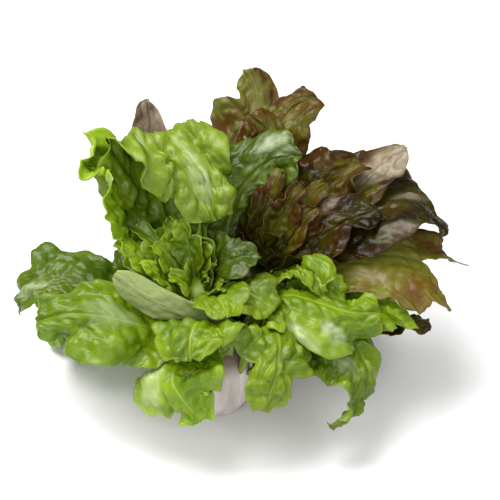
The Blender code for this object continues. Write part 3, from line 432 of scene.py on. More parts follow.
def grid_corners(rows, columns):
    """The numbers of a grid's points, and those of the four corners of each of its cells, in order
    round it."""
    index = np.arange(rows * columns).reshape(rows, columns)
    return index, (index[:-1, :-1], index[:-1, 1:], index[1:, 1:], index[1:, :-1])


def grid_triangles(rows, columns):
    """The triangles of a grid, wound so that they face the upper side; the diagonals lean towards the
    midrib."""
    a, b, c, d = grid_corners(rows, columns)[1]
    left = np.arange(columns - 1) < (columns - 1) // 2
    one = np.where(left[None, :, None], np.stack([a, c, b], -1), np.stack([a, d, b], -1))
    two = np.where(left[None, :, None], np.stack([a, d, c], -1), np.stack([b, d, c], -1))
    return np.concatenate([one.reshape(-1, 3), two.reshape(-1, 3)])


def point_normals(points, triangles):
    """Unit normals at the points, weighted by the area of the triangles around each."""
    a, b, c = (points[triangles[:, k]] for k in range(3))
    facing = np.cross(b - a, c - a)
    total = np.zeros_like(points)
    for k in range(3):
        np.add.at(total, triangles[:, k], facing)
    return total / np.maximum(np.linalg.norm(total, axis=1), 1e-12)[:, None]


def margin_shares(columns):
    """Where the columns of one half stand: the first close to the midrib, beside the rib."""
    return (0.0, 0.14, 0.56, 1.0) if columns == 3 else (0.0, 0.30, 1.0)


def core_share(core, points):
    """Below 1 inside a heart's core, an ellipsoid, and 1 on its surface."""
    centre, radii = CORES[core]
    return np.linalg.norm((points - np.array(centre)) / np.array(radii), axis=-1)


def buried(points):
    """Which points are inside the base or a heart's core."""
    inside = np.hypot(points[..., 0], points[..., 1]) < base_radius(points[..., 2])
    for core in CORES:
        inside |= core_share(core, points) < 1.0
    return inside


# Springs along, across and askew to the grid: how many rows down and columns right each reaches, and how
# stiff it is.
SPRINGS = ((1, 0, 1.0), (0, 1, 1.0), (1, 1, 0.7), (1, -1, 0.7), (2, 0, 1.0), (0, 2, 0.8))


def spring_ends(grid, down, right):
    """The two ends of every spring that reaches so many rows down and columns right, as slices of the
    grid."""
    rows, columns = grid.shape[:2]
    first = (slice(0, rows - down), slice(max(0, -right), columns - max(0, right)))
    last = (slice(down, rows), slice(max(0, right), columns + min(0, right)))
    return first, last


def spring_lengths(grid):
    """The length of every spring between the grid's points."""
    return [np.linalg.norm(grid[spring_ends(grid, d, r)[1]] - grid[spring_ends(grid, d, r)[0]], axis=-1)
            for d, r, _ in SPRINGS]


def hold_shape(grid, lengths, pinned, passes=8):
    """Draws the springs between the grid's points back towards their own lengths, so that a pushed blade
    bends as a sheet does and neither stretches nor folds into itself. Pinned points stay."""
    for _ in range(passes):
        total = np.zeros_like(grid)
        count = np.full(grid.shape[:2], 1e-9)
        for (down, right, stiffness), length in zip(SPRINGS, lengths):
            first, last = spring_ends(grid, down, right)
            along = grid[last] - grid[first]
            now = np.linalg.norm(along, axis=-1)
            pull = (0.5 * stiffness * (now - length) / np.maximum(now, 1e-9))[..., None] * along
            total[first] += pull
            total[last] -= pull
            count[first] += stiffness
            count[last] += stiffness
        grid += np.where(pinned[..., None], 0.0, 1.4 * total / count[..., None])


def row_frames(grid):
    """The middle of every row, and the directions across, above and along the blade there."""
    line = grid[:, grid.shape[1] // 2]
    along = np.gradient(line, axis=0)
    along /= np.linalg.norm(along, axis=1)[:, None]
    side = grid[:, -1] - grid[:, 0]
    side /= np.linalg.norm(side, axis=1)[:, None]
    side[1:-1] = 0.25 * side[:-2] + 0.5 * side[1:-1] + 0.25 * side[2:]
    side -= (side * along).sum(axis=1)[:, None] * along
    side /= np.linalg.norm(side, axis=1)[:, None]
    return line, np.stack([side, np.cross(along, side), along], axis=1)


def hold_rows(grid, own, breadth, pinned):
    """Gives every narrow row its own cross-section back, on a midrib that is drawn a little towards
    smooth."""
    line = grid[:, grid.shape[1] // 2]
    line[1:-1] += (1.0 - breadth[1:-1, 0]) * 0.15 * (line[:-2] + line[2:] - 2.0 * line[1:-1]) * ~pinned[1:-1]
    line, frames = row_frames(grid)
    rigid = line[:, None] + np.einsum("rck,rkx->rcx", own, frames)
    grid += (1.0 - breadth) * (rigid - grid)


def smoothed(field, passes):
    """The field with each inner row drawn to the mean of itself and its neighbours."""
    field = field.copy()
    for _ in range(passes):
        field[1:-1] = 0.25 * field[:-2] + 0.5 * field[1:-1] + 0.25 * field[2:]
    return field


# A row is narrow, and moves as one, where it is up to this wide, and is quite free at SLACK more.
NARROW = 0.008
SLACK = 0.012
# How far a leaf looks for others, the farthest it is pushed in one round, and how far out of a core, in its
# radii, leaves of the same heart start to keep clear.
REACH = 0.012
FARTHEST_PUSH = 0.003
FREE_OF_CORE = 1.3


def settle(leaves, grids, thicknesses, rounds):
    """Moves the leaves apart until none crosses another, each staying on the upper side of those in
    outer layers. Each round, every point that is nearer a leaf than the two need is pushed off it by
    half of what is missing, and that leaf by the other half, and then each blade's springs are drawn
    back to length. Where a leaf is narrow, as its stalk is, the whole row moves together. Points
    inside the base or a core stay."""
    order = sorted(range(len(leaves)), key=lambda k: leaves[k].layer)
    kin = [leaf.name.split("_heart_")[0] if "_heart_" in leaf.name else "" for leaf in leaves]
    facets = [grid_triangles(*grid.shape[:2]) for grid in grids]
    facet_lists = [f.tolist() for f in facets]
    lengths = [spring_lengths(grid) for grid in grids]
    pinned = [buried(grid) for grid in grids]
    widths = [np.linalg.norm(grid[:, -1] - grid[:, 0], axis=-1) for grid in grids]
    breadths = [smoothstep((width - NARROW) / SLACK)[:, None, None] for width in widths]
    owns = []
    for grid in grids:
        line, frames = row_frames(grid)
        owns.append(np.einsum("rcx,rkx->rck", grid - line[:, None], frames))
    slim = [np.repeat(breadth.ravel() < 0.3, grid.shape[1]) for breadth, grid in zip(breadths, grids)]
    for grid in grids:
        grid[...] = np.round(grid, 7)
    at_rest = [grid.copy() for grid in grids]
    for _ in range(rounds):
        flats = [grid.reshape(-1, 3) for grid in grids]
        trees = [BVHTree.FromPolygons(flat.tolist(), f) for flat, f in zip(flats, facet_lists)]
        free = [~buried(flat) for flat in flats]
        lows = [flat[ok].min(axis=0) - 0.002 for flat, ok in zip(flats, free)]
        highs = [flat[ok].max(axis=0) + 0.002 for flat, ok in zip(flats, free)]
        push = [np.zeros_like(flat) for flat in flats]
        hits = [np.zeros(len(flat)) for flat in flats]
        moved = False
        for i, outer in enumerate(order):
            for inner in order[i + 1:]:
                if np.any(lows[outer] > highs[inner]) or np.any(lows[inner] > highs[outer]):
                    continue
                for mover, other, way in ((inner, outer, 1.0), (outer, inner, -1.0)):
                    points = flats[mover]
                    thick = thicknesses[mover].ravel()
                    other_thick = thicknesses[other].ravel()
                    near = free[mover] & np.all((points > lows[other]) & (points < highs[other]), axis=1)
                    if kin[mover] and kin[mover] == kin[other]:
                        near &= core_share(kin[mover], points) > FREE_OF_CORE
                    for k in np.flatnonzero(near):
                        place, normal, facet, distance = trees[other].find_nearest(points[k], REACH)
                        if place is None:
                            continue
                        corners = facets[other][facet]
                        need = CLEARANCE + (thick[k] if way > 0 else other_thick[corners].mean()) - BLADE
                        offset = points[k] - np.array(place)
                        height = way * float(offset @ np.array(normal))
                        narrow = slim[mover][k] or slim[other][corners].any()
                        if abs(height) > 0.75 * distance and not narrow:
                            if height >= need:
                                continue
                            step = way * np.array(normal) * min(need - height, FARTHEST_PUSH)
                        else:
                            if distance >= need:
                                continue
                            step = offset / max(distance, 1e-9) * (need - distance)
                            if narrow and height < 0.0:
                                step = way * np.array(normal) * need
                        push[mover][k] += 0.5 * step
                        hits[mover][k] += 1
                        push[other][corners] -= 0.25 * step
                        hits[other][corners] += 0.5
                        moved = True
        if not moved:
            break
        for k, grid in enumerate(grids):
            step = (push[k] / np.maximum(hits[k], 1.0)[:, None]).reshape(grid.shape)
            hit = hits[k].reshape(grid.shape[:2]).sum(axis=1)
            whole = push[k].reshape(grid.shape).sum(axis=1) / np.maximum(hit, 1.0)[:, None]
            step = breadths[k] * step + (1.0 - breadths[k]) * whole[:, None, :]
            rib = slice(grid.shape[1] // 2 - 1, grid.shape[1] // 2 + 2)
            step[:, rib] = step[:, rib].mean(axis=1, keepdims=True)
            grid += np.where(pinned[k][..., None], 0.0, 1.1 * step)
            hold_shape(grid, lengths[k], pinned[k])
            hold_rows(grid, owns[k], breadths[k], pinned[k][:, grid.shape[1] // 2, None])
            grid[..., 2] = np.maximum(grid[..., 2], FLOOR_CLEARANCE + thicknesses[k])
            grid[...] = np.round(grid, 7)
    for grid, rest, stuck in zip(grids, at_rest, pinned):
        grid += np.where(stuck[..., None], 0.0, smoothed(grid - rest, 2) - (grid - rest))


# Fine grids: rows along a leaf and columns across each of its halves.
FINE_ROWS = 97
FINE_COLUMNS = 30
HEART_ROWS = 61
HEART_COLUMNS = 18

SETTLING_ROUNDS = 60

# The photograph's size, its scale, the pixel that shows the origin, and the camera: its distance in metres,
# its elevation in degrees and its sensor's width in millimetres.
PHOTO_PIXELS = 500
METRES_PER_PIXEL = 0.00058
ORIGIN_PIXEL = (219.0, 404.0)
CAMERA_DISTANCE = 1.30
CAMERA_ELEVATION = 35.0
SENSOR_WIDTH = 36.0

# Sizes that only the fine leaves have: small teeth on the margin as a share of the half width, the rib's
# width, how far the veins are sunk, how many side veins a half has, and the lowest that a blade's two faces
# come.
TEETH = 0.02
FINE_RIB_WIDTH = 0.0034
VEIN_DEPTH = 0.0003
SIDE_VEINS = 7.0
LOWEST_UPPER_FACE = 0.0020
LOWEST_LOWER_FACE = 0.0008

# Ripples of the margin at two scales: wavelength, height beside the size's own, and where across they
# start.
RIPPLES = ((0.031, 1.00, 0.20), (0.013, 0.42, 0.55))

# Cells of the blisters at two scales: width, and what is added to the leaf's seed.
CELLS = ((0.0098, 0), (0.0046, 17))

# A heart leaf's ripples, cells and relief beside a large leaf's.
HEART_RIPPLES = 0.55
HEART_CELLS = 0.7
HEART_RELIEF = 0.42

# Leaves that show their undersides, so that their blisters swell that way.
SHOWN_FROM_BELOW = ("green_leaf_folded_over", "green_leaf_rolled")

# How strong each leaf's relief is, where it isn't 1.
RELIEF = {
    "green_leaf_folded_over": 1.45, "green_leaf_rolled": 0.22, "green_leaf_back_left": 1.25,
    "green_leaf_far_left": 1.05, "green_leaf_left": 0.85, "green_leaf_hidden_left": 0.60,
    "green_leaf_hidden_back": 0.60, "red_leaf_hidden_back": 0.60, "red_leaf_hidden_right": 0.60,
    "red_leaf_low_right": 0.60, "red_leaf_pale_tip": 0.60, "red_leaf_back_tip": 0.45,
    "red_leaf_far_right": 0.60, "red_leaf_cupped": 0.70, "red_leaf_arrow": 0.55, "red_leaf_fan": 0.80,
    "red_leaf_top_left": 0.75, "red_leaf_top_right": 0.70, "red_leaf_top_front": 0.80,
}

# How light each leaf and core is beside its material, where it isn't 1: painted light and shade, lighter on
# leaves that lie in the light and darker on those in shade and on the cores down in the heart's hollow, with
# some leaves' own deeper green besides.
LIGHT_AND_SHADE_TONES = {
    "green_leaf_far_left": 0.46, "green_leaf_left": 0.85, "green_leaf_front_left": 1.42,
    "green_leaf_front_right": 0.78, "green_leaf_right": 1.12, "green_leaf_behind": 0.46,
    "green_leaf_front": 0.88, "green_leaf_folded_over": 0.80, "green_leaf_forked": 1.20,
    "green_leaf_back_left": 1.30, "red_leaf_arrow": 1.60, "red_leaf_top_left": 1.10,
    "red_leaf_top_right": 1.15, "red_leaf_back_tip": 0.72, "red_leaf_cupped": 0.48,
    "red_leaf_far_right": 0.55, "green_core": 0.80, "green_heart_0": 0.65, "green_heart_1": 1.05,
    "green_heart_2": 0.80, "green_heart_5": 0.60, "green_heart_9": 1.05, "green_heart_10": 0.65,
    "green_heart_13": 0.70, "green_heart_14": 0.95, "green_heart_right": 0.42,
    "green_heart_low_right": 0.85, "red_core": 0.30, "red_heart_0": 1.20, "red_heart_1": 0.40,
    "red_heart_2": 0.40, "red_heart_3": 1.15, "red_heart_4": 0.30, "red_heart_6": 0.55,
    "red_heart_7": 0.25, "red_heart_9": 0.30, "red_heart_10": 0.45,
}

# Pale patches on the leaves, where each is along and across, cw negative, its reach both ways and its
# strength: on the green leaves painted highlights, a painted sheen, and on the red ones partly the pale
# underside's own colour and partly a painted sheen.
SHEEN_AND_PALE_PATCHES = {
    "red_leaf_pale_tip": ((0.96, -0.40, 0.15, 1.60, 1.00),),
    "red_leaf_back_tip": ((0.95, 0.00, 0.35, 2.00, 0.62),),
    "red_leaf_far_right": ((0.89, 0.05, 0.04, 0.20, 0.50), (0.69, -0.85, 0.05, 0.20, 0.30)),
    "red_leaf_arrow": ((0.62, -0.37, 0.06, 0.22, 0.50),),
    "red_leaf_cupped": ((0.77, 0.85, 0.04, 0.20, 0.60),),
    "red_leaf_top_left": ((0.84, 0.10, 0.08, 0.30, 0.45),),
    "green_leaf_behind": ((0.88, 0.65, 0.06, 0.30, 0.50), (0.96, 0.30, 0.05, 0.25, 0.40)),
    "green_leaf_right": ((0.66, -0.80, 0.05, 0.20, 0.70), (0.79, -0.60, 0.05, 0.24, 0.75)),
    "green_leaf_front_right": ((0.72, -0.20, 0.08, 0.30, 0.50),),
    "green_leaf_far_left": ((0.94, -0.10, 0.05, 0.45, 0.40),),
    "green_leaf_left": ((0.76, -0.13, 0.10, 0.35, 0.30),),
    "green_leaf_front_left": ((0.73, -0.47, 0.07, 0.30, 0.50),),
    "green_leaf_folded_over": ((0.91, 0.10, 0.06, 0.35, 0.40),),
}

# Rings and sides of the stem base and of a heart's core, and the height of the base's flutes.
BASE_RINGS, BASE_SIDES = 60, 144
CORE_RINGS, CORE_SIDES = 25, 48
FLUTE_HEIGHT = 0.0011

# Roughness of each skin, and how much of a red skin is olive.
ROUGHNESS = {
    "green_leaf": 0.30, "pale_strip": 0.42, "green_heart": 0.33, "red_leaf": 0.21, "olive_red": 0.30,
    "red_heart": 0.32,
}
OLIVE_SHARE = {"red_leaf": 0.45, "olive_red": 0.90, "red_heart": 0.75}

# The stage: half the floor's side, the world's strength, where the lights aim, and for each light its
# place, its side and its power in watts.
FLOOR_REACH = 4.0
WORLD_STRENGTH = 0.22
LIGHT_TARGET = (0.01, 0.0, 0.06)
LIGHTS = {
    "key": ((-0.30, 0.05, 0.90), 0.70, 15.5),
    "fill": ((0.60, -0.40, 0.70), 0.70, 4.0),
    "front": ((-0.20, -0.80, 0.60), 0.50, 4.5),
}


def spread_columns(columns):
    """Where the fine columns of one half stand: closer together at the rib and towards the margin."""
    t = np.linspace(0.0, 1.0, columns + 1)
    return t + 0.06 * np.sin(2 * math.pi * t)


def interpolated(field, rows, across, columns):
    """A field on a leaf's coarse grid read on its fine one: a cubic through the rows, and between columns
    half a straight line and half a smooth step."""
    coarse_s = np.linspace(0.0, 1.0, field.shape[0])
    fine_s = np.linspace(0.0, 1.0, rows)
    half = np.asarray(margin_shares(columns))
    coarse_u = np.concatenate([-half[:0:-1], half])
    fine_u = np.concatenate([-across[:0:-1], across])
    at = np.clip(np.searchsorted(coarse_s, fine_s, side="right") - 1, 0, len(coarse_s) - 2)
    t = ((fine_s - coarse_s[at]) / (coarse_s[at + 1] - coarse_s[at]))[:, None, None]
    before, after = np.maximum(at - 1, 0), np.minimum(at + 2, len(coarse_s) - 1)
    along = cubic(field[before], field[at], field[at + 1], field[after], t)
    left = np.clip(np.searchsorted(coarse_u, fine_u, side="right") - 1, 0, len(coarse_u) - 2)
    w = ((fine_u - coarse_u[left]) / (coarse_u[left + 1] - coarse_u[left]))[None, :, None]
    w = w * w * (3.0 - 2.0 * w) * 0.5 + w * 0.5
    return along[:, left] * (1.0 - w) + along[:, left + 1] * w


@lru_cache(maxsize=1)
def settled_leaves():
    """How far each leaf's coarse grid moves when the leaves are laid clear of each other, by its name."""
    leaves = GREEN_LEAVES + RED_LEAVES + GREEN_HEART + RED_HEART
    grids = [leaf_surface(leaf, leaf.rows, margin_shares(leaf.columns)) for leaf in leaves]
    rest = [grid.copy() for grid in grids]
    thicknesses = [leaf_thickness(leaf, leaf.rows, margin_shares(leaf.columns)) for leaf in leaves]
    settle(leaves, grids, thicknesses, SETTLING_ROUNDS)
    return {leaf.name: grid - start for leaf, grid, start in zip(leaves, grids, rest)}


def flat_maps(leaf, rows, across):
    """Flat maps of the fine leaf, each a grid from the cw margin to the ccw margin: x across and y along in
    metres, the share u of the half width, and the distance along the margin's own length in metres."""
    halves = []
    for half in (1, 0):
        x, y, (x_edge, y_edge) = flat_half(leaf, rows, across, half, TEETH)
        arc = np.concatenate([[0.0], np.cumsum(np.hypot(np.diff(x_edge), np.diff(y_edge)))])
        halves.append((x, y, np.broadcast_to(across, x.shape), np.broadcast_to(arc[:, None], x.shape)))
    return [np.hstack([cw[:, ::-1], ccw[:, 1:]]) for cw, ccw in zip(*halves)]


def sides_of(grid):
    """-1 on the grid's cw columns, 0 on the midrib and 1 on its ccw columns."""
    columns = grid.shape[1]
    return np.sign(np.arange(columns) - columns // 2)[None, :]


def cell_field(p, q, seed):
    """Irregular cells over the plane of p and q: each unit square holds one point, moved by a hash of its
    indices, and every place belongs to the nearest. Returns the distances to the nearest and second nearest
    points and the nearest one's own number between 0 and 1."""
    def hashed(i, j, k):
        value = np.sin(i * 127.1 + j * 311.7 + k * 74.7 + seed * 0.37) * 43758.5453
        return value - np.floor(value)

    base_p, base_q = np.floor(p), np.floor(q)
    first = np.full(p.shape, 9.0)
    second = np.full(p.shape, 9.0)
    number = np.zeros(p.shape)
    for dp in (-1, 0, 1):
        for dq in (-1, 0, 1):
            i, j = base_p + dp, base_q + dq
            away = np.hypot(i + 0.15 + 0.7 * hashed(i, j, 1.0) - p, j + 0.15 + 0.7 * hashed(i, j, 2.0) - q)
            nearer = away < first
            second = np.where(nearer, first, np.minimum(second, away))
            number = np.where(nearer, hashed(i, j, 3.0), number)
            first = np.where(nearer, away, first)
    return first, second, number


def ripples(arc, u, side, scale, draw):
    """Sines along the margin's own length at two scales, each drawn out and pressed together by a slower
    sine, that die away inwards."""
    total = np.zeros_like(u)
    for wavelength, height, start in RIPPLES:
        phase = draw.uniform(0.0, 2 * math.pi, 3)
        turn = 2 * math.pi * arc / (wavelength * scale) + phase[0] * side
        turn = turn + 1.6 * np.sin(2 * math.pi * arc / (2.7 * wavelength * scale) + phase[1] * side)
        total += height * smoothstep((u - start) / (1.0 - start)) ** 1.4 * np.sin(turn + phase[2])
    return total


def blisters(signed, y, u, scale, seed):
    """Flat domes over irregular cells between the veins, large ones with small ones on them and lower at
    the midrib and the margin, and how far each place is out of the creases round them, from 0 to 1."""
    domes, clears = [], []
    for width, extra in CELLS:
        size = width * scale
        p = (signed + 0.0030 * np.sin(y / 0.0120) + 0.0016 * np.sin(y / 0.0051 + 2.0)) / size
        q = (y + 0.0030 * np.sin(signed / 0.0110) + 0.0016 * np.sin(signed / 0.0047)) / size
        first, second, number = cell_field(p, q, seed + extra)
        domes.append(smoothstep((second - first) / 0.62) * (0.35 + 0.65 * number))
        clears.append(smoothstep((second - first) / 0.30))
    inner = smoothstep(u / 0.14) * (1.0 - 0.55 * smoothstep((u - 0.72) / 0.28))
    return (domes[0] + 0.42 * domes[1]) * inner, clears[0] * (0.75 + 0.25 * clears[1])


def dents(signed, y, u, draw):
    """Four broad sines, each in a direction of its own, that are nothing at the midrib."""
    total = np.zeros_like(y)
    for _ in range(4):
        angle = draw.uniform(0.0, math.pi)
        along = (math.cos(angle) * signed + math.sin(angle) * y) / draw.uniform(0.018, 0.034)
        total += np.sin(2 * math.pi * along + draw.uniform(0.0, 2 * math.pi))
    return total * (0.45 * smoothstep(u / 0.5))


def fine_relief(leaf, flat, s, sizes, small):
    """How far the fine surface stands off the smooth one, along its normal, and how far into the creases each
    place lies, from 0 to 1, which the skins draw darker as painted shade. Ripples, blisters and dents are
    added up, scaled by the leaf's own relief, and grow from nothing at its foot."""
    x, y, u, arc = flat
    side = sides_of(u)
    draw = np.random.default_rng(leaf.seed + 5000)
    rippled = ripples(arc, u, side, HEART_RIPPLES if small else 1.0, draw)
    swollen, clear = blisters(x * side, y, u, HEART_CELLS if small else 1.0, leaf.seed)
    dented = dents(x * side, y, u, draw)
    outward = -1.0 if leaf.name in SHOWN_FROM_BELOW else 1.0
    relief = RELIEF.get(leaf.name, 1.0)
    height = (HEART_RELIEF if small else 1.0) * relief
    lift = height * (sizes.frill * rippled + outward * sizes.blister * swollen + sizes.dent * dented)
    crease = min(relief, 1.0) * (1.0 - clear) * smoothstep(u / 0.1) * (1.0 - smoothstep((u - 0.6) / 0.4))
    return smoothstep((s - 0.10) / 0.25) * lift, crease


def sheen_and_pale_map(leaf, u, s):
    """How pale the blade is, 0 to 1: each patch is a soft ellipse round its own place along and across.
    On green leaves it is a painted sheen, on red ones partly the pale underside's colour and partly a painted
    sheen.
    """
    pale = np.zeros_like(u)
    signed = u * sides_of(u)
    for s_middle, u_middle, s_reach, u_reach, strength in SHEEN_AND_PALE_PATCHES.get(leaf.name, ()):
        away = np.hypot((s - s_middle) / s_reach, (signed - u_middle) / u_reach)
        pale = np.maximum(pale, strength * smoothstep((1.30 - away) / 0.80))
    return pale


def vein_map(x, u, s):
    """1 on the midrib and up to 0.45 on the side veins: the midrib narrows towards the tip, and a side vein
    runs near every row where s times their number is whole, wandering across the blade."""
    rib = np.clip(1.0 - (x / (0.0024 - 0.0017 * s)) ** 2, 0.0, 1.0)
    wander = 0.22 * np.sin(5.0 * u + 9.0 * s) + 0.10 * np.sin(13.0 * u + 4.0)
    lateral = np.abs(np.cos(math.pi * (SIDE_VEINS * s + wander))) ** 90
    lateral = lateral * (1.0 - smoothstep((u - 0.45) / 0.35)) * 0.45
    return np.maximum(rib, lateral)


def shell_faces(rows, columns):
    """The quads that close two grids, an upper one and the same points again under it, into one shell: the
    upper faces, the lower ones and a rim between them."""
    index, (a, b, c, d) = grid_corners(rows, columns)
    top = np.stack([d, c, b, a], -1).reshape(-1, 4)
    around = np.concatenate([index[0, :-1], index[:-1, -1], index[-1, :0:-1], index[:0:-1, 0]])
    ahead = np.roll(around, -1)
    rim = np.stack([around, ahead, ahead + index.size, around + index.size], -1)
    return np.vstack([top, top[:, ::-1] + index.size, rim])


def leaf_body(leaf, sizes, small):
    """The fine leaf as a closed shell: (vertices, faces, maps of the vertices). The upper face is the
    smooth surface plus its settled displacement and the relief along the normal; the lower face lies the
    thickness under it. A heart leaf is drawn darker towards its foot, as painted shade down among the leaves."""
    rows, columns = (HEART_ROWS, HEART_COLUMNS) if small else (FINE_ROWS, FINE_COLUMNS)
    across = spread_columns(columns)
    s = np.linspace(0.0, 1.0, rows)[:, None]
    flat = flat_maps(leaf, rows, across)
    x, _, u, _ = flat
    veins = vein_map(x, u, s)
    lift, crease = fine_relief(leaf, flat, s, sizes, small)
    grid = leaf_surface(leaf, rows, across, TEETH)
    grid = grid + interpolated(settled_leaves()[leaf.name], rows, across, leaf.columns)
    triangles = grid_triangles(rows, grid.shape[1])
    normals = point_normals(grid.reshape(-1, 3), triangles).reshape(grid.shape)
    grid = grid + lift[..., None] * normals
    grid = grid - (VEIN_DEPTH * veins * (u < 0.999))[..., None] * normals
    upper = grid.reshape(-1, 3)
    upper[:, 2] = np.maximum(upper[:, 2], LOWEST_UPPER_FACE)
    rib = rib_depth(x, s, midrib_of(leaf)[1], FINE_RIB_WIDTH)
    thick = (sizes.blade * (1.0 - 0.35 * u**3) + rib + VEIN_DEPTH * veins).reshape(-1, 1)
    lower = upper - thick * point_normals(upper, triangles)
    lower[:, 2] = np.maximum(lower[:, 2], LOWEST_LOWER_FACE)
    # Painted light and shade: each leaf is drawn lighter where it lies in the light and darker where it lies
    # in shade.
    tone = LIGHT_AND_SHADE_TONES.get(leaf.name, 1.0) * np.ones_like(u)
    # Painted shade: a heart leaf darkens towards its foot, where it stands among the other leaves.
    if small:
        tone *= 0.60 + 0.35 * smoothstep((s - 0.35) / 0.5)
    one_face = {"vein": veins, "crease": crease, "margin": u, "along": s + np.zeros_like(u),
                "pale": sheen_and_pale_map(leaf, u, s), "tone": tone}
    maps = {name: np.tile(values.ravel(), 2) for name, values in one_face.items()}
    maps["underside"] = np.repeat([0.0, 1.0], len(upper))
    return np.vstack([upper, lower]), shell_faces(rows, grid.shape[1]), maps


def ringed_quads(rings):
    """A closed shell through rings of points, as (vertices, faces): quads between the rings, and each end
    ring closed by quads that join its first half to its second."""
    count, sides = rings.shape[:2]
    index = np.arange(count * sides).reshape(count, sides)
    ahead = np.roll(index, -1, axis=1)
    walls = np.stack([index[:-1], ahead[:-1], ahead[1:], index[1:]], -1).reshape(-1, 4)
    k = np.arange(sides // 2 - 1)
    ends = [np.stack([ring[(-k) % sides], ring[(-k - 1) % sides], ring[(k + 2) % sides], ring[k + 1]], -1)
            for ring in (index[0], index[-1])]
    return rings.reshape(-1, 3), np.vstack([walls, ends[0], ends[1][:, ::-1]])


def core_body(core):
    """A heart's core as a closed shell: rings of points round an ellipsoid, from close to its lowest point
    to close to its highest."""
    centre, radii = CORES[core]
    lift = np.radians(np.linspace(-86.0, 86.0, CORE_RINGS))[:, None]
    angle = np.linspace(0.0, 2 * math.pi, CORE_SIDES, endpoint=False)[None, :]
    rings = np.stack([centre[0] + radii[0] * np.cos(lift) * np.cos(angle),
                      centre[1] + radii[1] * np.cos(lift) * np.sin(angle),
                      centre[2] + radii[2] * np.sin(lift) + 0.0 * angle], -1)
    vertices, faces = ringed_quads(rings)
    # Painted shade: each core is drawn darker down in its heart's hollow.
    values = {"vein": 0.0, "crease": 0.0, "margin": 0.0, "along": 0.5, "pale": 0.0, "underside": 0.0,
              "tone": LIGHT_AND_SHADE_TONES[f"{core}_core"]}
    return vertices, faces, {name: np.full(len(vertices), value) for name, value in values.items()}


def base_body():
    """The stem base as a closed shell: its profile turned round, with upright flutes, nine round the base,
    that wander with the height and are highest at the middle."""
    z = BASE_HEIGHT * np.linspace(0.0, 1.0, BASE_RINGS)[:, None]
    angle = np.linspace(0.0, 2 * math.pi, BASE_SIDES, endpoint=False)[None, :]
    flute = FLUTE_HEIGHT * np.sin(math.pi * np.clip(z / BASE_HEIGHT * 1.1 - 0.05, 0, 1))
    wave = np.abs(np.sin(4.5 * angle + 0.4 * np.sin(2 * angle + 1.0) + 25.0 * z))
    radius = base_radius(z) + flute * (wave - 0.6)
    rings = np.stack([radius * np.cos(angle), radius * np.sin(angle), z + 0.0 * angle], -1)
    vertices, faces = ringed_quads(rings)
    return vertices, faces, {"along": np.clip(vertices[:, 2] / BASE_HEIGHT, 0.0, 1.0)}


def build_piece(name, bodies, material):
    """One object from closed shells: their vertices, faces and maps stacked, the maps as attributes."""
    offsets = np.cumsum([0] + [len(vertices) for vertices, _, _ in bodies])
    vertices = np.vstack([body[0] for body in bodies])
    faces = np.vstack([body[1] + start for body, start in zip(bodies, offsets)])
    mesh = bpy.data.meshes.new(name)
    mesh.from_pydata(vertices.tolist(), [], faces.tolist())
    for key in bodies[0][2]:
        values = np.concatenate([body[2][key] for body in bodies]).astype(np.float32)
        mesh.attributes.new(key, "FLOAT", "POINT").data.foreach_set("value", values)
    mesh.shade_smooth()
    mesh.materials.append(material)
    piece = bpy.data.objects.new(name, mesh)
    bpy.context.scene.collection.objects.link(piece)
    return piece


def attach(piece, node):
    """Ties a fine piece to the frame: it rides on the only body and stands in for its node."""
    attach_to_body(piece, "root")
    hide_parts(node)


def build_leaves(leaves, skins, usual):
    """Builds and attaches a fine blade for each large leaf of a group, in its own skin or the usual one."""
    sizes = bpy.context.scene.lettuce_sizes
    for leaf in leaves:
        body = leaf_body(leaf, sizes, False)
        attach(build_piece(f"{leaf.name}_blade", [body], skins.get(leaf.name, usual)), leaf.name)


def build_heart(core, leaves, skin):
    """Builds and attaches one heart: its small leaves and the core they stand out of."""
    sizes = bpy.context.scene.lettuce_sizes
    bodies = [leaf_body(leaf, sizes, True) for leaf in leaves]
    bodies.append(core_body(core))
    attach(build_piece(f"{core}_heart_leaves", bodies, skin), f"{core}_heart")


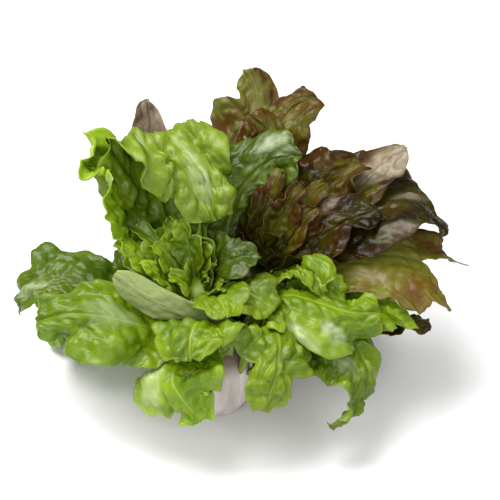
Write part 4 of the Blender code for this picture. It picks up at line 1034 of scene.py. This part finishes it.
class Finish:
    """A material with one method for each kind of node it uses. A value or a colour that a method takes is
    another node's socket or a constant. Apart from feed and node, each method returns a socket."""

    def __init__(self, name):
        self.material = bpy.data.materials.new(name)
        self.material.use_nodes = True
        self.tree = self.material.node_tree
        self.shader = self.tree.nodes["Principled BSDF"]

    def feed(self, node, inputs):
        """Gives a node's inputs, by name or number, what each takes."""
        for key, value in inputs.items():
            socket = node.inputs[key]
            if hasattr(value, "is_linked"):
                self.tree.links.new(value, socket)
            elif socket.type == "RGBA":
                socket.default_value = (*value, 1.0)
            else:
                socket.default_value = value

    def node(self, kind, inputs, **settings):
        """A new node with its settings and inputs."""
        made = self.tree.nodes.new(kind)
        for key, value in settings.items():
            setattr(made, key, value)
        self.feed(made, inputs)
        return made

    def mixed(self, share, one, two):
        """The colour that lies the share of the way from one to two."""
        return self.node("ShaderNodeMix", {0: share, 6: one, 7: two}, data_type="RGBA").outputs[2]

    def ranged(self, value, low, high, to_low=0.0, to_high=1.0):
        """The value with low..high spread over to_low..to_high, and clamped."""
        inputs = {"Value": value, "From Min": low, "From Max": high, "To Min": to_low, "To Max": to_high}
        return self.node("ShaderNodeMapRange", inputs).outputs["Result"]

    def overlaid(self, colour, layers):
        """A colour with layers over it. Each is a mask, the mask's values where the layer starts and where
        it is full, its share where it is full, and its colour."""
        for mask, start, full, share, over in layers:
            colour = self.mixed(self.ranged(mask, start, full, 0.0, share), colour, over)
        return colour

    def attribute(self, name):
        """The piece's own attribute of that name."""
        return self.node("ShaderNodeAttribute", {}, attribute_name=name).outputs["Fac"]

    def place(self):
        """The place on the object, in Object coordinates."""
        return self.node("ShaderNodeTexCoord", {}).outputs["Object"]

    def noise(self, scale, detail, roughness=0.55, stretch=(1.0, 1.0, 1.0)):
        """Noise on Object coordinates, which are first multiplied by the stretch."""
        place = self.node("ShaderNodeMapping", {"Vector": self.place(), "Scale": stretch}).outputs["Vector"]
        inputs = {"Vector": place, "Scale": scale, "Detail": detail, "Roughness": roughness}
        return self.node("ShaderNodeTexNoise", inputs).outputs["Fac"]

    def bumped(self, height, strength, distance):
        """The normal of a surface with bumps on it."""
        inputs = {"Height": height, "Strength": strength, "Distance": distance}
        return self.node("ShaderNodeBump", inputs).outputs["Normal"]

    def light_and_shade_toned(self, colour):
        """A colour made darker or lighter by the piece's painted light and shade."""
        inputs = {"Vector": colour, "Scale": self.attribute("tone")}
        return self.node("ShaderNodeVectorMath", inputs, operation="SCALE").outputs["Vector"]

    def mottled(self, share):
        """A share broken up by fine noise: two fifths of it in the noise's hollows, all of it on the
        crests."""
        crests = self.ranged(self.noise(130.0, 3.0), 0.35, 0.62, 0.40, 1.0)
        return self.node("ShaderNodeMath", {0: share, 1: crests}, operation="MULTIPLY").outputs["Value"]

    def leaf_colour(self, blade, below, pale):
        """The blade's colour above and another below, both made lighter or darker by painted light and shade,
        and a
            pale one where the leaf's own map says so: a painted sheen on green leaves, and on red ones partly
            the pale underside's own colour and partly a painted sheen."""
        colour = self.light_and_shade_toned(self.mixed(self.attribute("underside"), blade, below))
        return self.mixed(self.mottled(self.attribute("pale")), colour, pale)


def blended(one, two, share):
    """The colour that lies the given share of the way from one to two."""
    return tuple((1.0 - share) * a + share * b for a, b in zip(one, two))


def green_material(kind, upper, deep, pale, under, sheen):
    """Green leaf: a deep and a bright green mixed by wide noise, brighter at the frilled margin, veins and
    the blade's foot pale, painted shade in the creases, the underside greyer, a painted sheen where the
    leaf's own map says so, and small crinkles in the bump."""
    skin = Finish(f"{kind}_skin")
    rough = ROUGHNESS[kind]
    vein = (skin.attribute("vein"), 0.25, 1.0, 0.55, pale)
    blade = skin.overlaid(deep, (
        (skin.noise(38.0, 3.0), 0.36, 0.66, 1.0, upper),
        (skin.attribute("margin"), 0.80, 1.0, 0.18, pale),
        (skin.attribute("along"), 0.34, 0.02, 0.75, pale),
        vein,
        # Painted shade: the creases between the blisters are drawn darker, towards the deep green.
        (skin.attribute("crease"), 0.2, 1.0, 0.45, deep)))
    below = skin.overlaid(under, (vein,))
    skin.feed(skin.shader, {
        "Base Color": skin.leaf_colour(blade, below, sheen),
        "Roughness": skin.ranged(skin.noise(90.0, 2.0), 0.3, 0.7, rough - 0.06, rough + 0.10),
        "Specular IOR Level": 0.25,
        "Subsurface Weight": 0.22,
        "Subsurface Radius": (0.6, 1.0, 0.2),
        "Subsurface Scale": 0.003,
        "Normal": skin.bumped(skin.noise(210.0, 4.0, 0.6), 0.35, 0.0012),
    })
    return skin.material


def red_material(kind, red, olive, dark, under, foot):
    """Red leaf: red-brown with dark patches, olive by the rib and in spots, the foot and the underside in
    colours of their own, painted shade in the creases, pale where the leaf's own map says so, partly the
    underside's own colour and partly a painted sheen, and small crinkles in the bump."""
    skin = Finish(f"{kind}_skin")
    rough, share = ROUGHNESS[kind], OLIVE_SHARE[kind]
    patches = (skin.noise(42.0, 4.0), 0.42, 0.58, 1.0)
    vein = (skin.attribute("vein"), 0.45, 1.0, 0.22, under)
    blade = skin.overlaid(red, (
        (*patches, dark),
        (skin.attribute("margin"), 0.75, 0.15, share, olive),
        (skin.noise(60.0, 3.0), 0.50, 0.60, 0.6 * share + 0.25, olive),
        (skin.attribute("along"), 0.42, 0.12, 0.6, foot),
        vein,
        # Painted shade: the creases between the blisters are drawn darker, towards the dark red.
        (skin.attribute("crease"), 0.2, 1.0, 0.45, dark),
        (skin.attribute("margin"), 0.90, 1.0, 0.45, red)))
    below = skin.overlaid(blended(under, olive, 0.3), ((*patches, blended(olive, under, 0.3)), vein))
    skin.feed(skin.shader, {
        "Base Color": skin.leaf_colour(blade, below, under),
        "Roughness": skin.ranged(skin.noise(90.0, 2.0), 0.3, 0.7, rough - 0.05, rough + 0.12),
        "Specular IOR Level": 0.15,
        "Subsurface Weight": 0.12,
        "Subsurface Radius": (1.0, 0.5, 0.2),
        "Subsurface Scale": 0.002,
        "Normal": skin.bumped(skin.noise(190.0, 4.0, 0.6), 0.35, 0.0012),
    })
    return skin.material


def base_material(flesh, shade):
    """Stem base: pale pinkish flesh with upright streaks, and a painted shadow of the leaves, dark brown,
    over its top.
    """
    skin = Finish("stem_base_skin")
    streaks = skin.noise(1.0, 4.0, 0.5, (140.0, 140.0, 16.0))
    height = skin.node("ShaderNodeSeparateXYZ", {"Vector": skin.place()}).outputs["Z"]
    skin.feed(skin.shader, {
        "Base Color": skin.overlaid(flesh, (
            (streaks, 0.38, 0.66, 1.0, tuple(0.62 * c for c in flesh)),
            # Painted shadow: above a height the flesh turns to the shade colour, the shadow the leaves cast
            # on the base.
            (height, 0.032, 0.042, 1.0, shade))),
        "Roughness": 0.42,
        "Subsurface Weight": 0.25,
        "Subsurface Radius": (1.0, 0.8, 0.7),
        "Subsurface Scale": 0.003,
        "Normal": skin.bumped(streaks, 0.3, 0.0008),
    })
    return skin.material


def colour_property(name, description, default):
    """A colour a user may change, in linear red, green and blue."""
    return FloatVectorProperty(name=name, description=description, default=default, size=3, subtype="COLOR",
                               min=0.0, max=1.0)


def length_property(name, description, default):
    """A length in metres that a user may change."""
    return FloatProperty(name=name, description=description, default=default, min=0.0, max=0.02,
                         unit="LENGTH", precision=5)


class LettuceSizes(bpy.types.PropertyGroup):
    """Sizes of the fine relief that the blades carry."""

    blade: length_property("Blade Thickness", "Thickness of a leaf between its veins", 0.0007)
    frill: length_property("Frill Height", "Height of the ripples along a leaf's margin", 0.0026)
    blister: length_property("Blister Height", "Height of the swellings between the veins", 0.0030)
    dent: length_property("Dent Height", "Height of the wide soft dents in a blade", 0.0010)


class LettuceColours(bpy.types.PropertyGroup):
    """Colours of the leaves and of the stem base."""

    green: colour_property("Green", "Upper side of the green leaves", (0.166, 0.240, 0.004))
    green_deep: colour_property("Deep Green", "Darker patches of the green leaves", (0.072, 0.130, 0.002))
    green_pale: colour_property("Pale Green", "Veins and feet of the green leaves", (0.270, 0.338, 0.048))
    green_under: colour_property("Green Underside", "Underside of the green leaves", (0.160, 0.232, 0.014))
    # Painted highlights: a pale painted sheen laid on patches of the green leaves.
    green_painted_sheen: colour_property("Green Sheen", "Palest patches of the green leaves", (0.440, 0.490, 0.290))
    strip: colour_property("Rolled Strip", "The green leaf rolled into a strip", (0.182, 0.222, 0.072))
    red: colour_property("Red Brown", "Margins of the red-brown leaves", (0.056, 0.024, 0.003))
    red_dark: colour_property("Dark Red", "Darkest patches of the red-brown leaves", (0.014, 0.007, 0.002))
    red_under: colour_property("Red Underside", "Underside of the red-brown leaves", (0.250, 0.200, 0.138))
    olive: colour_property("Olive", "Inner parts of the red-brown leaves", (0.078, 0.078, 0.003))
    olive_light: colour_property("Light Olive", "Inner parts of the olive leaves", (0.085, 0.092, 0.010))
    base: colour_property("Base", "Flesh of the stem base", (0.82, 0.74, 0.71))
    # Painted shadow: the colour of the band of shadow that the leaves cast on the top of the stem base.
    base_shade: colour_property("Base Shade", "Stem base where the leaves leave it", (0.16, 0.10, 0.07))


def greens(colours):
    """The five colours of an ordinary green skin, in the order of green_material."""
    return colours.green, colours.green_deep, colours.green_pale, colours.green_under, colours.green_painted_sheen


class LETTUCE_OT_stem_base(bpy.types.Operator):
    """Builds the pale stem base with the fluted feet of the leaf stalks"""

    bl_idname = "lettuce.stem_base"
    bl_label = "Stem Base"

    def execute(self, context):
        colours = context.scene.lettuce_colours
        skin = base_material(colours.base, colours.base_shade)
        attach(build_piece("stem_base_flesh", [base_body()], skin), "stem_base")
        return {"FINISHED"}


class LETTUCE_OT_green_leaves(bpy.types.Operator):
    """Builds the large green leaves over their solids"""

    bl_idname = "lettuce.green_leaves"
    bl_label = "Green Leaves"

    def execute(self, context):
        colours = context.scene.lettuce_colours
        green = green_material("green_leaf", *greens(colours))
        strip = green_material("pale_strip", *[colours.strip] * 5)
        build_leaves(GREEN_LEAVES, {"green_leaf_rolled": strip}, green)
        return {"FINISHED"}


class LETTUCE_OT_red_leaves(bpy.types.Operator):
    """Builds the large red-brown leaves over their solids, two of them in an olive skin"""

    bl_idname = "lettuce.red_leaves"
    bl_label = "Red-Brown Leaves"

    def execute(self, context):
        c = context.scene.lettuce_colours
        red = red_material("red_leaf", c.red, c.olive, c.red_dark, c.red_under, c.olive)
        tan = blended(c.red, c.olive_light, 0.5)
        olive = red_material("olive_red", tan, c.olive_light, c.red, c.red_under, c.red_under)
        build_leaves(RED_LEAVES, {"red_leaf_arrow": olive, "red_leaf_top_left": olive}, red)
        return {"FINISHED"}


class LETTUCE_OT_green_heart(bpy.types.Operator):
    """Builds the green heart: its small leaves and core"""

    bl_idname = "lettuce.green_heart"
    bl_label = "Green Heart"

    def execute(self, context):
        skin = green_material("green_heart", *greens(context.scene.lettuce_colours))
        build_heart("green", GREEN_HEART, skin)
        return {"FINISHED"}


class LETTUCE_OT_red_heart(bpy.types.Operator):
    """Builds the red-brown heart: its small leaves and core"""

    bl_idname = "lettuce.red_heart"
    bl_label = "Red-Brown Heart"

    def execute(self, context):
        c = context.scene.lettuce_colours
        # Painted shade: the heart's small leaves take the dark red at their feet, down among the other
        # leaves.
        skin = red_material("red_heart", c.red, c.olive, c.red_dark, c.olive, c.red_dark)
        build_heart("red", RED_HEART, skin)
        return {"FINISHED"}


def build_floor():
    """A wide pale floor of paper under the base."""
    mesh = bpy.data.meshes.new("floor")
    corners = [(x * FLOOR_REACH, y * FLOOR_REACH, 0.0) for x, y in ((-1, -1), (1, -1), (1, 1), (-1, 1))]
    mesh.from_pydata(corners, [], [(0, 1, 2, 3)])
    paper = Finish("floor_paper")
    paper.feed(paper.shader, {"Base Color": (0.90, 0.90, 0.90), "Roughness": 0.9})
    mesh.materials.append(paper.material)
    floor = bpy.data.objects.new("floor", mesh)
    bpy.context.scene.collection.objects.link(floor)


def build_light(name, place, side, power):
    """A square area light at a place, aimed at the middle of the head."""
    data = bpy.data.lights.new(name, "AREA")
    data.energy, data.size = power, side
    lamp = bpy.data.objects.new(name, data)
    lamp.location = place
    lamp.rotation_mode = "QUATERNION"
    lamp.rotation_quaternion = (Vector(LIGHT_TARGET) - Vector(place)).to_track_quat("-Z", "Y")
    bpy.context.scene.collection.objects.link(lamp)


def build_camera():
    """A camera that sees the origin at its pixel of the photograph, at the photograph's scale: it looks
    down at its elevation on the point that the middle pixel shows."""
    tilt = math.radians(CAMERA_ELEVATION)
    back = Vector((0.0, -math.cos(tilt), math.sin(tilt)))
    up = Vector((0.0, math.sin(tilt), math.cos(tilt)))
    right = Vector((1.0, 0.0, 0.0))
    middle = PHOTO_PIXELS / 2
    centre = (right * ((middle - ORIGIN_PIXEL[0]) * METRES_PER_PIXEL)
              + up * ((ORIGIN_PIXEL[1] - middle) * METRES_PER_PIXEL))
    data = bpy.data.cameras.new("camera")
    data.sensor_width = SENSOR_WIDTH
    data.lens = data.sensor_width * CAMERA_DISTANCE / (PHOTO_PIXELS * METRES_PER_PIXEL)
    data.clip_end = 20.0
    camera = bpy.data.objects.new("camera", data)
    camera.location = centre + back * CAMERA_DISTANCE
    camera.rotation_mode = "QUATERNION"
    camera.rotation_quaternion = (-back).to_track_quat("-Z", "Y")
    bpy.context.scene.collection.objects.link(camera)
    bpy.context.scene.camera = camera


class LETTUCE_OT_stage(bpy.types.Operator):
    """Builds the pale floor, the soft studio lights and the camera"""

    bl_idname = "lettuce.stage"
    bl_label = "Stage"

    def execute(self, context):
        build_floor()
        world = bpy.data.worlds.new("studio")
        world.use_nodes = True
        background = world.node_tree.nodes["Background"]
        background.inputs["Color"].default_value = (1.0, 1.0, 1.0, 1.0)
        background.inputs["Strength"].default_value = WORLD_STRENGTH
        context.scene.world = world
        for name, (place, side, power) in LIGHTS.items():
            build_light(name, place, side, power)
        build_camera()
        context.scene.view_settings.view_transform = "Standard"
        return {"FINISHED"}


OPERATORS = (LETTUCE_OT_stem_base, LETTUCE_OT_green_leaves, LETTUCE_OT_red_leaves, LETTUCE_OT_green_heart,
             LETTUCE_OT_red_heart, LETTUCE_OT_stage)


class LETTUCE_PT_panel(bpy.types.Panel):
    """Lists the lettuce's sizes, colours and pieces"""

    bl_idname = "LETTUCE_PT_panel"
    bl_label = "Lettuce"
    bl_space_type = "VIEW_3D"
    bl_region_type = "UI"
    bl_category = "Lettuce"

    def draw(self, context):
        for group in (context.scene.lettuce_sizes, context.scene.lettuce_colours):
            box = self.layout.box()
            for key in group.__annotations__:
                box.prop(group, key)
        for operator in OPERATORS:
            self.layout.operator(operator.bl_idname)


CLASSES = (LettuceSizes, LettuceColours, *OPERATORS, LETTUCE_PT_panel)


def register():
    """Registers the classes and gives every scene its lettuce sizes and colours."""
    for cls in CLASSES:
        bpy.utils.register_class(cls)
    bpy.types.Scene.lettuce_sizes = PointerProperty(type=LettuceSizes)
    bpy.types.Scene.lettuce_colours = PointerProperty(type=LettuceColours)


def unregister():
    """Takes away what register added."""
    del bpy.types.Scene.lettuce_colours
    del bpy.types.Scene.lettuce_sizes
    for cls in reversed(CLASSES):
        bpy.utils.unregister_class(cls)


def main():
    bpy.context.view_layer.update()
    register()
    bpy.ops.lettuce.stem_base()
    bpy.ops.lettuce.green_leaves()
    bpy.ops.lettuce.red_leaves()
    bpy.ops.lettuce.green_heart()
    bpy.ops.lettuce.red_heart()
    bpy.ops.lettuce.stage()
    bpy.context.view_layer.update()


if __name__ == "__main__":
    main()
